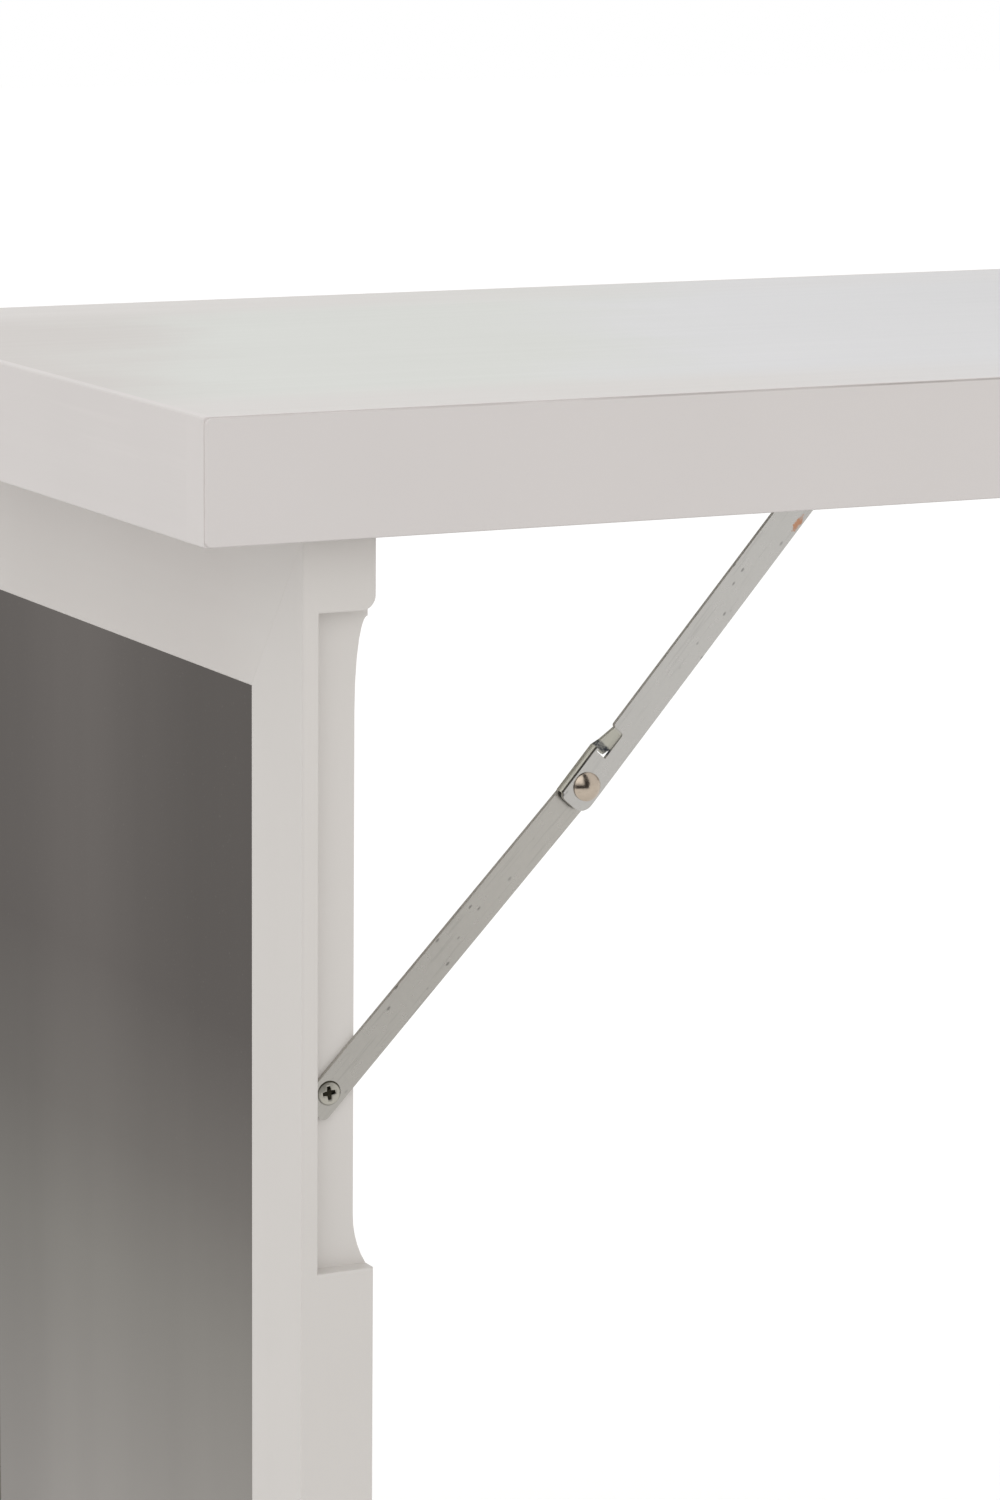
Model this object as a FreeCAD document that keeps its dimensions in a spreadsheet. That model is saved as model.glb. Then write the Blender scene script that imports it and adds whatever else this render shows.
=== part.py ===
import FreeCAD, Part
import math
import os

import Sketcher
from FreeCAD import Placement, Rotation, Vector

# Wall-mounted folding table.  A shallow box-built leaf is hinged to a wall board; a framed
# mirror hinged under its free end is the leg.  Two folding stays lock the leg open.
# Frame: +X points into the wall, +Z up, Y = 0 is the middle; the origin lies on the wall,
# level with the table top.  "right" is the -Y side.  All sizes are millimetres.

doc = FreeCAD.newDocument("folding_wall_table")

# Driving dimensions: alias, value.
DRIVING = [
    # the leaf: a panel let into a rebated rim of boards, with a lipping along its sides
    ("leaf_length", 800.0),
    ("leaf_width", 428.0),
    ("leaf_thickness", 50.0),
    ("panel_thickness", 18.0),
    ("rim_thickness", 18.0),
    ("rim_lip", 4.0),
    ("lipping_thickness", 1.5),
    ("lipping_reveal", 0.3),
    ("lipping_corner_radius", 2.5),
    ("arris", 1.0),
    ("table_height", 750.0),
    # the wall board with its two rails
    ("board_thickness", 18.0),
    ("board_drop", 110.0),
    ("board_above_leaf", 20.0),
    ("rail_thickness", 22.0),
    ("rail_drop", 90.0),
    ("rail_top_gap", 2.0),
    ("catch_rail_height", 60.0),
    ("board_corner_radius", 12.0),
    ("fixing_radius", 3.0),
    ("fixing_head_radius", 6.0),
    ("fixing_row_low", 120.0),
    ("fixing_row_high", 700.0),
    ("fixing_half_span", 150.0),
    ("rail_fixing_half_span", 60.0),
    ("rail_fixing_drop", 60.0),
    # the wall hinges
    ("wall_hinge_gap", 1.0),
    ("wall_hinge_rise", 4.0),
    ("wall_hinge_length", 76.0),
    ("wall_hinge_inset", 40.0),
    ("wall_plate_width", 40.0),
    ("wall_plate_thickness", 2.0),
    ("wall_knuckle_radius", 3.5),
    # the leg frame
    ("leg_setback", 50.2),
    ("leg_depth", 32.0),
    ("leg_clearance", 3.0),
    ("stile_width", 48.4),
    ("top_rail_width", 65.3),
    ("bottom_rail_width", 60.0),
    ("mitre_break", 0.15),
    ("glide_height", 5.0),
    ("glide_radius", 11.0),
    ("glide_inset", 30.0),
    ("glide_bevel", 1.5),
    ("mirror_front_lip", 1.5),
    ("mirror_rebate", 9.0),
    ("mirror_thickness", 4.0),
    ("mirror_clearance", 1.0),
    ("backing_thickness", 3.0),
    ("bead_thickness", 8.0),
    ("bead_reveal", 1.0),
    # the pocket in each stile that takes the folded stay, and the hollow along its back edge
    ("pocket_depth", 8.0),
    ("pocket_front", 7.4),
    ("pocket_top", 31.7),
    ("pocket_length", 267.0),
    ("ear_corner_radius", 6.0),
    ("scoop_depth", 5.6),
    ("scoop_top_gap", 3.3),
    ("scoop_top_run", 37.0),
    ("scoop_low_radius", 40.0),
    # the leg hinges
    ("fold_inset", 6.8),
    ("fold_rise", 1.1),
    ("leg_hinge_length", 64.0),
    ("leg_hinge_inset", 62.0),
    ("leg_plate_width", 25.0),
    ("leg_plate_thickness", 1.6),
    ("leg_knuckle_radius", 3.0),
    ("stop_gap", 0.4),
    # hinge pins
    ("pin_radius", 1.5),
    ("pin_clearance", 0.05),
    ("knuckle_gap", 0.3),
    # the folding stays, measured along each arm from the middle joint
    ("arm_half_width", 6.9),
    ("arm_thickness", 2.0),
    ("arm_end", 10.0),
    ("arm_gap", 1.4),
    ("arm_floor_gap", 0.2),
    ("arm_corner_radius", 2.8),
    ("joint_corner_radius", 5.6),
    ("foot_pivot_back", 14.7),
    ("foot_pivot_drop", 226.0),
    ("folded_tilt", 3.8),
    ("folded_reach", 1.7),
    ("folded_lift", 3.0),
    ("over_centre", 4.1),
    ("pivot_hole_radius", 2.5),
    ("pivot_clearance", 0.05),
    ("rivet_head_radius", 6.0),
    ("rivet_head_height", 2.9),
    ("rivet_rim", 0.5),
    ("spacer_radius", 4.6),
    ("spacer_clearance", 0.1),
    # the stop flange, the notch beside it and the strip that joins them
    ("flange_low", -8.5),
    ("flange_gap", 0.4),
    ("flange_thickness", 1.4),
    ("flange_end_gap", 0.2),
    ("notch_low", 13.5),
    ("notch_high", 26.0),
    ("notch_floor", 0.9),
    ("notch_corner_radius", 1.2),
    ("strip_lap", 0.7),
    ("strip_side_gap", 0.2),
    ("strip_tip_gap", 1.0),
    ("strip_tip_rise", 2.4),
    ("strip_bend_run", 4.0),
    ("strip_bend_height", 7.4),
    ("strip_bend_drop", 0.75),
    ("strip_crease_run", 1.4),
    ("strip_crease_drop", 0.6),
    ("strip_root_height", 5.8),
    # the screws that carry the stays
    ("bush_radius", 6.0),
    ("stay_screw_head_radius", 5.1),
    ("stay_screw_crown", 0.8),
    ("stay_screw_grip", 19.0),
    ("top_screw_head_radius", 4.5),
    ("top_screw_grip", 12.0),
    ("recess_share", 0.5),
    # wood screws in the hinges and rails
    ("head_clearance", 0.05),
    ("hinge_screw_radius", 1.75),
    ("hinge_screw_head_radius", 3.2),
    ("hinge_screw_length", 14.0),
    ("rail_screw_radius", 2.5),
    ("rail_screw_head_radius", 4.8),
    ("rail_screw_length", 34.0),
    ("rail_screw_margin", 14.0),
    ("rail_screw_end_margin", 20.0),
    # the catch that holds the stowed leaf
    ("magnet_radius", 7.5),
    ("magnet_thickness", 6.0),
    ("magnet_clearance", 0.2),
    ("magnet_half_span", 90.0),
    ("magnet_setback", 34.0),
    ("magnet_skin", 3.0),
    ("buffer_radius", 6.0),
    ("buffer_half_span", 170.0),
    ("buffer_bevel", 1.5),
    ("buffer_gap", 0.3),
]

# Places and sizes that follow from the driving dimensions: alias, formula.
DERIVED = [
    ("rail_face_x", "-(board_thickness + rail_thickness)"),
    ("leaf_wall_x", "rail_face_x - wall_hinge_gap"),
    ("leaf_free_x", "leaf_wall_x - leaf_length"),
    ("leaf_half", "leaf_width / 2"),
    ("side_outer_y", "leaf_half - lipping_thickness"),
    ("rim_inner_y", "leaf_half - rim_thickness"),
    ("under_z", "-leaf_thickness"),
    ("wall_axis_x", "rail_face_x - wall_hinge_gap / 2"),
    ("wall_axis_z", "wall_hinge_rise"),
    ("stowed_top_z", "wall_axis_z + leaf_length + wall_hinge_gap / 2"),
    ("board_top_z", "stowed_top_z + board_above_leaf"),
    ("stowed_face_x", "wall_axis_x - wall_hinge_rise"),
    ("leg_half", "rim_inner_y - leg_clearance"),
    ("leg_inner_y", "leg_half - stile_width"),
    ("leg_face_x", "leaf_free_x + leg_setback"),
    ("leg_back_x", "leg_face_x + leg_depth"),
    ("fold_x", "leg_face_x + fold_inset"),
    ("fold_z", "under_z + fold_rise"),
    ("leg_top_z", "fold_z - leg_knuckle_radius"),
    ("leg_bottom_z", "glide_height - table_height"),
    ("opening_top_z", "leg_top_z - top_rail_width"),
    ("opening_bottom_z", "leg_bottom_z + bottom_rail_width"),
    ("batten_back_x", "fold_x - leg_knuckle_radius"),
    ("batten_under_z", "leg_top_z + stop_gap"),
    ("rebate_y", "leg_inner_y + mirror_rebate"),
    ("rebate_top_z", "opening_top_z + mirror_rebate"),
    ("rebate_bottom_z", "opening_bottom_z - mirror_rebate"),
    ("mirror_x", "leg_face_x + mirror_front_lip"),
    ("backing_x", "mirror_x + mirror_thickness"),
    ("bead_x", "backing_x + backing_thickness"),
    ("bead_back_x", "bead_x + bead_thickness"),
    ("bead_width", "mirror_rebate - bead_reveal"),
    ("pocket_top_z", "under_z - pocket_top"),
    ("pocket_bottom_z", "pocket_top_z - pocket_length"),
    ("pocket_front_x", "leg_face_x + pocket_front"),
    ("pocket_floor_y", "leg_half - pocket_depth"),
    ("scoop_floor_x", "leg_back_x - scoop_depth"),
    ("scoop_top_z", "pocket_top_z - scoop_top_gap"),
    ("lower_back_y", "pocket_floor_y + arm_floor_gap"),
    ("lower_front_y", "lower_back_y + arm_thickness"),
    ("upper_back_y", "lower_front_y + arm_gap"),
    ("upper_front_y", "upper_back_y + arm_thickness"),
    ("foot_x", "leg_face_x + foot_pivot_back"),
    ("foot_z", "under_z - foot_pivot_drop"),
    ("head_x", "fold_x + (fold_z - foot_z) + folded_reach"),
    ("head_z", "fold_z + (foot_x - fold_x) + folded_lift"),
    ("stay_span", "sqrt((head_x - foot_x)^2 + (head_z - foot_z)^2)"),
    ("arm_difference", "folded_reach * cos(folded_tilt * 1 deg) - folded_lift * sin(folded_tilt * 1 deg)"),
    ("joint_share", "0.5 - arm_difference / (2 * stay_span)"),
    ("joint_x", "foot_x + joint_share * (head_x - foot_x) + over_centre * (head_z - foot_z) / stay_span"),
    ("joint_z", "foot_z + joint_share * (head_z - foot_z) - over_centre * (head_x - foot_x) / stay_span"),
    ("lower_length", "sqrt((joint_x - foot_x)^2 + (joint_z - foot_z)^2)"),
    ("upper_length", "sqrt((head_x - joint_x)^2 + (head_z - joint_z)^2)"),
    ("flange_inner", "arm_half_width + flange_gap"),
    ("flange_outer", "flange_inner + flange_thickness"),
    ("flange_depth", "arm_thickness + arm_gap - flange_end_gap"),
    ("magnet_x", "leaf_free_x + magnet_setback"),
    ("magnet_z", "stowed_top_z - magnet_setback"),
    ("buffer_height", "rail_face_x - stowed_face_x - buffer_gap"),
    ("rail_screw_low_z", "rail_screw_margin - rail_drop"),
    ("rail_screw_high_z", "board_top_z - rail_screw_margin"),
    ("rail_screw_reach", "leaf_half - rail_screw_end_margin"),
]

# How far a cutting shape runs past the face that it opens.
PAST = 1.0


def fill_sheet(name, rows, formula):
    """One spreadsheet: the alias in column A, its value or formula in column B."""
    sheet = doc.addObject("Spreadsheet::Sheet", name)
    for row, (alias, content) in enumerate(rows, start=1):
        sheet.set(f"A{row}", alias)
        sheet.set(f"B{row}", formula(content))
        sheet.setAlias(f"B{row}", alias)
    return sheet


DRIVING_NAMES = [alias for alias, _ in DRIVING]
ALL_NAMES = DRIVING_NAMES + [alias for alias, _ in DERIVED]


def in_document(text):
    """Write an expression in plain aliases as one that any object of the document reads."""
    words = []
    word = ""
    for letter in text + " ":
        if letter.isalnum() or letter == "_":
            word += letter
            continue
        if word in DRIVING_NAMES:
            word = "Sizes." + word
        elif word in ALL_NAMES:
            word = "Places." + word
        words.append(word + letter)
        word = ""
    return "".join(words).strip()


def in_places(text):
    """A formula for a cell of the Places sheet itself."""
    return "=" + in_document(text).replace("Places.", "")


sizes = fill_sheet("Sizes", DRIVING, str)
doc.recompute()
places = fill_sheet("Places", DERIVED, in_places)
doc.recompute()


def at(alias):
    """The number behind an alias, for shapes that are set in code."""
    sheet = sizes if alias in DRIVING_NAMES else places
    return float(getattr(sheet, alias))


# ---------------------------------------------------------------- directions

OUT_OF_WALL = Vector(-1, 0, 0)
UP = Vector(0, 0, 1)
RIGHT = Vector(0, -1, 0)
LEFT = Vector(0, 1, 0)
ORIGIN = Vector(0, 0, 0)


# ---------------------------------------------------------------- PartDesign helpers

PLANES = {"XY": "XY_Plane", "XZ": "XZ_Plane", "YZ": "YZ_Plane"}
NORMAL_SIGN = {"XY": 1, "XZ": -1, "YZ": 1}


def new_body(label):
    body = doc.addObject("PartDesign::Body", label)
    body.Label = label
    return body


def outline_sketch(body, plane, corners, level):
    """A closed outline of straight lines; every corner and the level are bound to the sheets."""
    sketch = body.newObject("Sketcher::SketchObject", body.Label + "_outline")
    origin_plane = [f for f in body.Origin.OriginFeatures if f.Role == PLANES[plane]][0]
    sketch.AttachmentSupport = [(origin_plane, "")]
    sketch.MapMode = "FlatFace"
    rough = []
    for index in range(len(corners)):
        turn = 2 * math.pi * index / len(corners)
        rough.append(Vector(math.cos(turn), math.sin(turn), 0))
    for index in range(len(corners)):
        sketch.addGeometry(Part.LineSegment(rough[index], rough[(index + 1) % len(corners)]), False)
    for index in range(len(corners)):
        following = (index + 1) % len(corners)
        sketch.addConstraint(Sketcher.Constraint("Coincident", index, 2, following, 1))
    for index, (across, along) in enumerate(corners):
        for kind, text in (("DistanceX", across), ("DistanceY", along)):
            number = sketch.addConstraint(Sketcher.Constraint(kind, -1, 1, index, 1, 1.0))
            sketch.setExpression(f"Constraints[{number}]", in_document(text))
    sign = "" if NORMAL_SIGN[plane] > 0 else "-"
    sketch.setExpression("AttachmentOffset.Base.z", f"{sign}({in_document(level)})")
    return sketch


def pad(body, plane, corners, low, high):
    """Material between two levels along the plane's axis."""
    level = low if NORMAL_SIGN[plane] > 0 else high
    feature = body.newObject("PartDesign::Pad", body.Label + "_pad")
    feature.Profile = outline_sketch(body, plane, corners, level)
    feature.setExpression("Length", in_document(f"({high}) - ({low})"))
    body.Tip = feature
    return feature


def pocket(body, plane, corners, low, high):
    """Material taken away between two levels along the plane's axis."""
    doc.recompute()
    before = body.Shape.Volume
    level = high if NORMAL_SIGN[plane] > 0 else low
    feature = body.newObject("PartDesign::Pocket", body.Label + "_pocket")
    feature.Profile = outline_sketch(body, plane, corners, level)
    feature.setExpression("Length", in_document(f"({high}) - ({low})"))
    body.Tip = feature
    doc.recompute()
    if not body.Shape.Volume < before:
        raise RuntimeError(body.Label + ": a pocket cut nothing")
    return feature


def dress_edges(body, kind, size, wanted):
    """Fillet or chamfer the edges of the body for which wanted(edge) holds."""
    doc.recompute()
    base = body.Tip
    names = [f"Edge{i}" for i, edge in enumerate(base.Shape.Edges, start=1) if wanted(edge)]
    if not names:
        raise RuntimeError(body.Label + ": no edge to dress")
    feature = body.newObject("PartDesign::" + kind, body.Label + "_" + kind.lower())
    feature.Base = (base, names)
    feature.setExpression("Radius" if kind == "Fillet" else "Size", in_document(size))
    body.Tip = feature
    return feature


def rectangle(across_low, across_high, along_low, along_high):
    return [(across_low, along_low), (across_high, along_low), (across_high, along_high), (across_low, along_high)]


def direction(edge):
    """Axis letter of a straight edge, or an empty string."""
    if not isinstance(edge.Curve, Part.Line):
        return ""
    run = edge.Vertexes[-1].Point - edge.Vertexes[0].Point
    for letter, size in (("X", abs(run.x)), ("Y", abs(run.y)), ("Z", abs(run.z))):
        if size > 0.999 * run.Length:
            return letter
    return ""


def near(value, *targets):
    return any(abs(value - target) < 0.01 for target in targets)


# ---------------------------------------------------------------- pieces and pairs

def solid(label, shape):
    """A piece whose shape is set in code."""
    feature = doc.addObject("Part::Feature", label)
    feature.Label = label
    feature.Shape = shape
    return feature


def mirrored(source, label):
    """The left-hand twin of a right-hand piece."""
    twin = doc.addObject("Part::Mirroring", label)
    twin.Label = label
    twin.Source = source
    twin.Base = ORIGIN
    twin.Normal = LEFT
    return twin


def pair(label, shape):
    mirrored(solid(label + "_right", shape), label + "_left")


def group(label, shapes):
    """Several like pieces under one name."""
    solid(label, Part.makeCompound(shapes))


def mirror_y(shape):
    return shape.mirror(ORIGIN, LEFT)


def put(shape, point, outward):
    """A copy whose +Z looks along outward and whose origin is at point."""
    copy = shape.copy()
    copy.Placement = Placement(point, Rotation(UP, outward))
    return copy


def drilled(label, body, tools):
    """The body with tools taken out of it, under the piece's own name."""
    body.Label = label + "_blank"
    return solid(label, body.Shape.cut(Part.makeCompound(tools)))


def bored(label, *fasteners):
    """Take the shanks of fastener nodes out of the wooden piece that they are sunk in."""
    piece = [thing for thing in doc.Objects if thing.Label == label][0]
    tools = [thing.Shape for thing in doc.Objects if thing.Label in fasteners]
    piece.Label = label + "_plain"
    solid(label, piece.Shape.cut(Part.makeCompound(tools)))


# ---------------------------------------------------------------- fasteners

def profile_edges(points):
    return [Part.LineSegment(start, end).toShape() for start, end in zip(points, points[1:])]


def revolved(edges):
    return Part.Face(Part.Wire(edges)).revolve(ORIGIN, UP, 360)


def cap_arc(radius, rim, crest):
    """The profile of a round-topped head, from its rim up to its crest on the axis."""
    rise = crest - rim
    sphere = (radius * radius + rise * rise) / (2 * rise)
    half_angle = math.asin(radius / sphere) / 2
    middle = Vector(sphere * math.sin(half_angle), 0, crest - sphere + sphere * math.cos(half_angle))
    return Part.Arc(Vector(radius, 0, rim), middle, Vector(0, 0, crest)).toShape()


def sunk_profile(head_radius, shank_radius, length):
    """The outline of a countersunk screw from its end up to its rim at z = 0."""
    sink = head_radius - shank_radius
    return [Vector(0, 0, -length), Vector(shank_radius, 0, -length), Vector(shank_radius, 0, -sink),
            Vector(head_radius, 0, 0)]


def flat_screw(head_radius, shank_radius, length):
    """A countersunk wood screw with a flat top."""
    points = sunk_profile(head_radius, shank_radius, length)
    return revolved(profile_edges(points + [ORIGIN, points[0]]))


def raised_screw(head_radius, crown, shank_radius, length):
    """A countersunk screw with a low dome and a cross recess."""
    points = sunk_profile(head_radius, shank_radius, length)
    crest = Vector(0, 0, crown)
    edges = profile_edges(points) + [cap_arc(head_radius, 0, crown)] + profile_edges([crest, points[0]])
    return revolved(edges).cut(put(cross_recess(head_radius), crest, UP))


def cross_recess(head_radius):
    """The four-armed driver recess of a screw head, its mouth at z = 0."""
    reach = at("recess_share") * head_radius
    width = 0.36 * reach
    depth = 0.9 * reach
    arm = Part.makeBox(2 * reach, width, depth, Vector(-reach, -width / 2, -depth))
    other = arm.copy()
    other.rotate(ORIGIN, UP, 90)
    return arm.fuse(other).removeSplitter()


def countersink(head_radius, hole_radius, through):
    """The hole for a countersunk screw, its mouth at z = 0, open above the mouth."""
    sink = head_radius - hole_radius
    points = [Vector(0, 0, -through), Vector(hole_radius, 0, -through), Vector(hole_radius, 0, -sink),
              Vector(head_radius, 0, 0), Vector(head_radius, 0, PAST), Vector(0, 0, PAST), Vector(0, 0, -through)]
    return revolved(profile_edges(points))


def bevelled_disc(radius, height, bevel):
    """A round foot whose free face at z = height has a bevelled edge."""
    points = [ORIGIN, Vector(radius, 0, 0), Vector(radius, 0, height - bevel), Vector(radius - bevel, 0, height),
              Vector(0, 0, height), ORIGIN]
    return revolved(profile_edges(points))


# ---------------------------------------------------------------- the leaf

def make_leaf():
    make_panel()
    make_side_boards()
    make_end_board()
    make_wall_end_board()
    batten = new_body("hinge_batten")
    pad(batten, "XY", rectangle("leaf_free_x + rim_thickness", "batten_back_x", "-rim_inner_y", "rim_inner_y"),
        "batten_under_z", "-panel_thickness")


def make_panel():
    """The top panel with a blind hole over each catch magnet."""
    panel = new_body("top_panel")
    pad(panel, "XY", rectangle("leaf_free_x + rim_lip", "leaf_wall_x - rim_lip",
                               "-(leaf_half - rim_lip)", "leaf_half - rim_lip"), "-panel_thickness", "0")
    doc.recompute()
    depth = at("panel_thickness") - at("magnet_skin")
    hole = Part.makeCylinder(at("magnet_radius"), depth + PAST, Vector(0, 0, -depth - PAST))
    spots = [Vector(at("magnet_x"), side * at("magnet_half_span"), -at("magnet_skin")) for side in (-1, 1)]
    drilled("top_panel", panel, [put(hole, spot, UP) for spot in spots])
    disc = Part.makeCylinder(at("magnet_radius") - at("magnet_clearance"), at("magnet_thickness"),
                             Vector(0, 0, -at("magnet_thickness")))
    group("leaf_magnets", [put(disc, spot, UP) for spot in spots])


def make_side_boards():
    """Rim boards along both sides, each with its lipping."""
    board = new_body("side_board_right")
    pad(board, "XY", rectangle("leaf_free_x", "leaf_wall_x", "-side_outer_y", "-rim_inner_y"), "under_z", "0")
    pocket(board, "XY", rectangle("leaf_free_x + rim_lip", "leaf_wall_x - rim_lip",
                                  "-(leaf_half - rim_lip)", f"-rim_inner_y + {PAST}"), "-panel_thickness", "0")
    ends = (at("leaf_free_x"), at("leaf_wall_x"))
    dress_edges(board, "Fillet", "arris", lambda edge: direction(edge) == "Y" and near(edge.CenterOfMass.x, *ends))
    mirrored(board, "side_board_left")

    strip = new_body("edge_strip_right")
    pad(strip, "XZ", rectangle("leaf_free_x + lipping_reveal", "leaf_wall_x - lipping_reveal",
                               "under_z + lipping_reveal", "-lipping_reveal"), "-leaf_half", "-side_outer_y")
    dress_edges(strip, "Fillet", "lipping_corner_radius", lambda edge: direction(edge) == "Y")
    outer_y = -at("leaf_half")
    dress_edges(strip, "Chamfer", "lipping_reveal", lambda edge: near(edge.CenterOfMass.y, outer_y))
    mirrored(strip, "edge_strip_left")


def make_end_board():
    board = new_body("end_board")
    pad(board, "XY", rectangle("leaf_free_x", "leaf_free_x + rim_thickness", "-rim_inner_y", "rim_inner_y"),
        "under_z", "0")
    pocket(board, "XY", rectangle("leaf_free_x + rim_lip", f"leaf_free_x + rim_thickness + {PAST}",
                                  f"-rim_inner_y - {PAST}", f"rim_inner_y + {PAST}"), "-panel_thickness", "0")
    free_x = at("leaf_free_x")
    dress_edges(board, "Fillet", "arris", lambda edge: direction(edge) == "Y" and near(edge.CenterOfMass.x, free_x))


def make_wall_end_board():
    board = new_body("wall_end_board")
    pad(board, "XY", rectangle("leaf_wall_x - rim_thickness", "leaf_wall_x", "-rim_inner_y", "rim_inner_y"),
        "under_z", "0")
    pocket(board, "XY", rectangle(f"leaf_wall_x - rim_thickness - {PAST}", "leaf_wall_x - rim_lip",
                                  f"-rim_inner_y - {PAST}", f"rim_inner_y + {PAST}"), "-panel_thickness", "0")
    for side in (-1, 1):
        low, high = hinge_span(side)
        pocket(board, "YZ", rectangle(low, high, "wall_axis_z - wall_plate_width", f"{PAST}"),
               "leaf_wall_x - wall_plate_thickness", "leaf_wall_x")


def hinge_span(side):
    """Low and high Y of the wall hinge on the given side."""
    inner = "(rim_inner_y - wall_hinge_inset - wall_hinge_length)"
    outer = "(rim_inner_y - wall_hinge_inset)"
    if side > 0:
        return inner, outer
    return "-" + outer, "-" + inner


# ---------------------------------------------------------------- the wall board

def make_wall_board():
    board = new_body("wall_board")
    pad(board, "YZ", rectangle("-leaf_half", "leaf_half", "-board_drop", "board_top_z"), "-board_thickness", "0")
    dress_edges(board, "Fillet", "board_corner_radius", lambda edge: direction(edge) == "X")
    front_x = -at("board_thickness")
    dress_edges(board, "Chamfer", "arris", lambda edge: near(edge.CenterOfMass.x, front_x))
    doc.recompute()
    hole = countersink(at("fixing_head_radius"), at("fixing_radius"), at("board_thickness") + PAST)
    holes = []
    for height in (at("fixing_row_low"), at("fixing_row_high")):
        for side in (-1, 1):
            holes.append(put(hole, Vector(front_x, side * at("fixing_half_span"), height), OUT_OF_WALL))
    plain = Part.makeCylinder(at("fixing_radius"), at("board_thickness") + 2 * PAST,
                              Vector(0, 0, -at("board_thickness") - PAST))
    holes += [put(plain, spot, OUT_OF_WALL) for spot in rail_fixing_spots(front_x)]
    drilled("wall_board", board, holes)


def rail_fixing_spots(face_x):
    """Mouths of the two wall fixings that pass through the hinge rail and the board behind it."""
    return [Vector(face_x, side * at("rail_fixing_half_span"), -at("rail_fixing_drop")) for side in (-1, 1)]


def rail_screw_spots():
    """Heads of the screws that hold the lower and the upper rail to the board."""
    face_x = at("rail_face_x")
    reach = at("rail_screw_reach")
    low = [Vector(face_x, y, at("rail_screw_low_z")) for y in (-reach, -reach / 3, reach / 3, reach)]
    high = [Vector(face_x, y, at("rail_screw_high_z")) for y in (-reach, 0, reach)]
    return low, high


def rail_screw_holes(spots):
    hole = countersink(at("rail_screw_head_radius"), at("rail_screw_radius"), at("rail_thickness") + PAST)
    return [put(hole, spot, OUT_OF_WALL) for spot in spots]


def make_hinge_rail():
    """The lower rail, let in for the hinge plates."""
    rail = new_body("hinge_rail")
    pad(rail, "YZ", rectangle("-leaf_half", "leaf_half", "-rail_drop", "-rail_top_gap"),
        "rail_face_x", "-board_thickness")
    for side in (-1, 1):
        low, high = hinge_span(side)
        pocket(rail, "YZ", rectangle(low, high, "wall_axis_z - wall_plate_width", f"{PAST}"),
               f"rail_face_x - {PAST}", "rail_face_x + wall_plate_thickness")
    face_x = at("rail_face_x")
    low_z = -at("rail_drop")
    dress_edges(rail, "Chamfer", "arris",
                lambda edge: near(edge.CenterOfMass.x, face_x) and near(edge.CenterOfMass.z, low_z))
    doc.recompute()
    fixing = countersink(at("fixing_head_radius"), at("fixing_radius"), at("rail_thickness") + PAST)
    holes = [put(fixing, spot, OUT_OF_WALL) for spot in rail_fixing_spots(face_x)]
    drilled("hinge_rail", rail, holes + rail_screw_holes(rail_screw_spots()[0]))


def make_catch_rail():
    """The upper rail that the stowed leaf rests against, with its magnets and buffers."""
    rail = new_body("catch_rail")
    pad(rail, "YZ", rectangle("-leaf_half", "leaf_half", "board_top_z - catch_rail_height", "board_top_z"),
        "rail_face_x", "-board_thickness")
    face_x = at("rail_face_x")
    dress_edges(rail, "Chamfer", "arris", lambda edge: near(edge.CenterOfMass.x, face_x))
    doc.recompute()
    thick = at("magnet_thickness")
    socket = Part.makeCylinder(at("magnet_radius"), thick + PAST, Vector(0, 0, -thick))
    magnet = Part.makeCylinder(at("magnet_radius") - at("magnet_clearance"), thick, Vector(0, 0, -thick))
    spots = [Vector(face_x, side * at("magnet_half_span"), at("magnet_z")) for side in (-1, 1)]
    holes = [put(socket, spot, OUT_OF_WALL) for spot in spots]
    drilled("catch_rail", rail, holes + rail_screw_holes(rail_screw_spots()[1]))
    group("catch_magnets", [put(magnet, spot, OUT_OF_WALL) for spot in spots])

    buffer = bevelled_disc(at("buffer_radius"), at("buffer_height"), at("buffer_bevel"))
    spots = [Vector(face_x, side * at("buffer_half_span"), at("magnet_z")) for side in (-1, 1)]
    group("leaf_buffers", [put(buffer, spot, OUT_OF_WALL) for spot in spots])


def make_rail_screws():
    fastener = flat_screw(at("rail_screw_head_radius") - at("head_clearance"), at("rail_screw_radius"),
                          at("rail_screw_length"))
    low, high = rail_screw_spots()
    group("rail_screws", [put(fastener, spot, OUT_OF_WALL) for spot in low + high])


# ---------------------------------------------------------------- butt hinges

KNUCKLES = 3


def hinge_half(kind, inner, first):
    """A hinge leaf: plate along +Z from the knuckle, its inner face at x = inner.

    The fixed half (first = 0) grips the pin; the other one turns on it."""
    length = at(kind + "_hinge_length")
    radius = at(kind + "_knuckle_radius")
    gap = at("knuckle_gap")
    pitch = length / KNUCKLES
    shape = Part.makeBox(at(kind + "_plate_thickness"), length, at(kind + "_plate_width"), Vector(inner, 0, 0))
    for index in range(KNUCKLES):
        if index % 2 == first:
            start = Vector(0, index * pitch + gap / 2, 0)
            shape = shape.fuse(Part.makeCylinder(radius, pitch - gap, start, LEFT))
        else:
            shape = shape.cut(Part.makeCylinder(radius + gap, pitch, Vector(0, index * pitch, 0), LEFT))
    bore = at("pin_radius") + (at("pin_clearance") if first else 0)
    return shape.cut(Part.makeCylinder(bore, length + 2 * PAST, Vector(0, -PAST, 0), LEFT)).removeSplitter()


def hinge_screw_spots(kind, face):
    """Places of the three screws on a plate, one of them in the row further out."""
    length = at(kind + "_hinge_length")
    width = at(kind + "_plate_width")
    return [Vector(face, share * length, out * width) for share, out in ((0.15, 0.45), (0.5, 0.75), (0.85, 0.45))]


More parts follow.
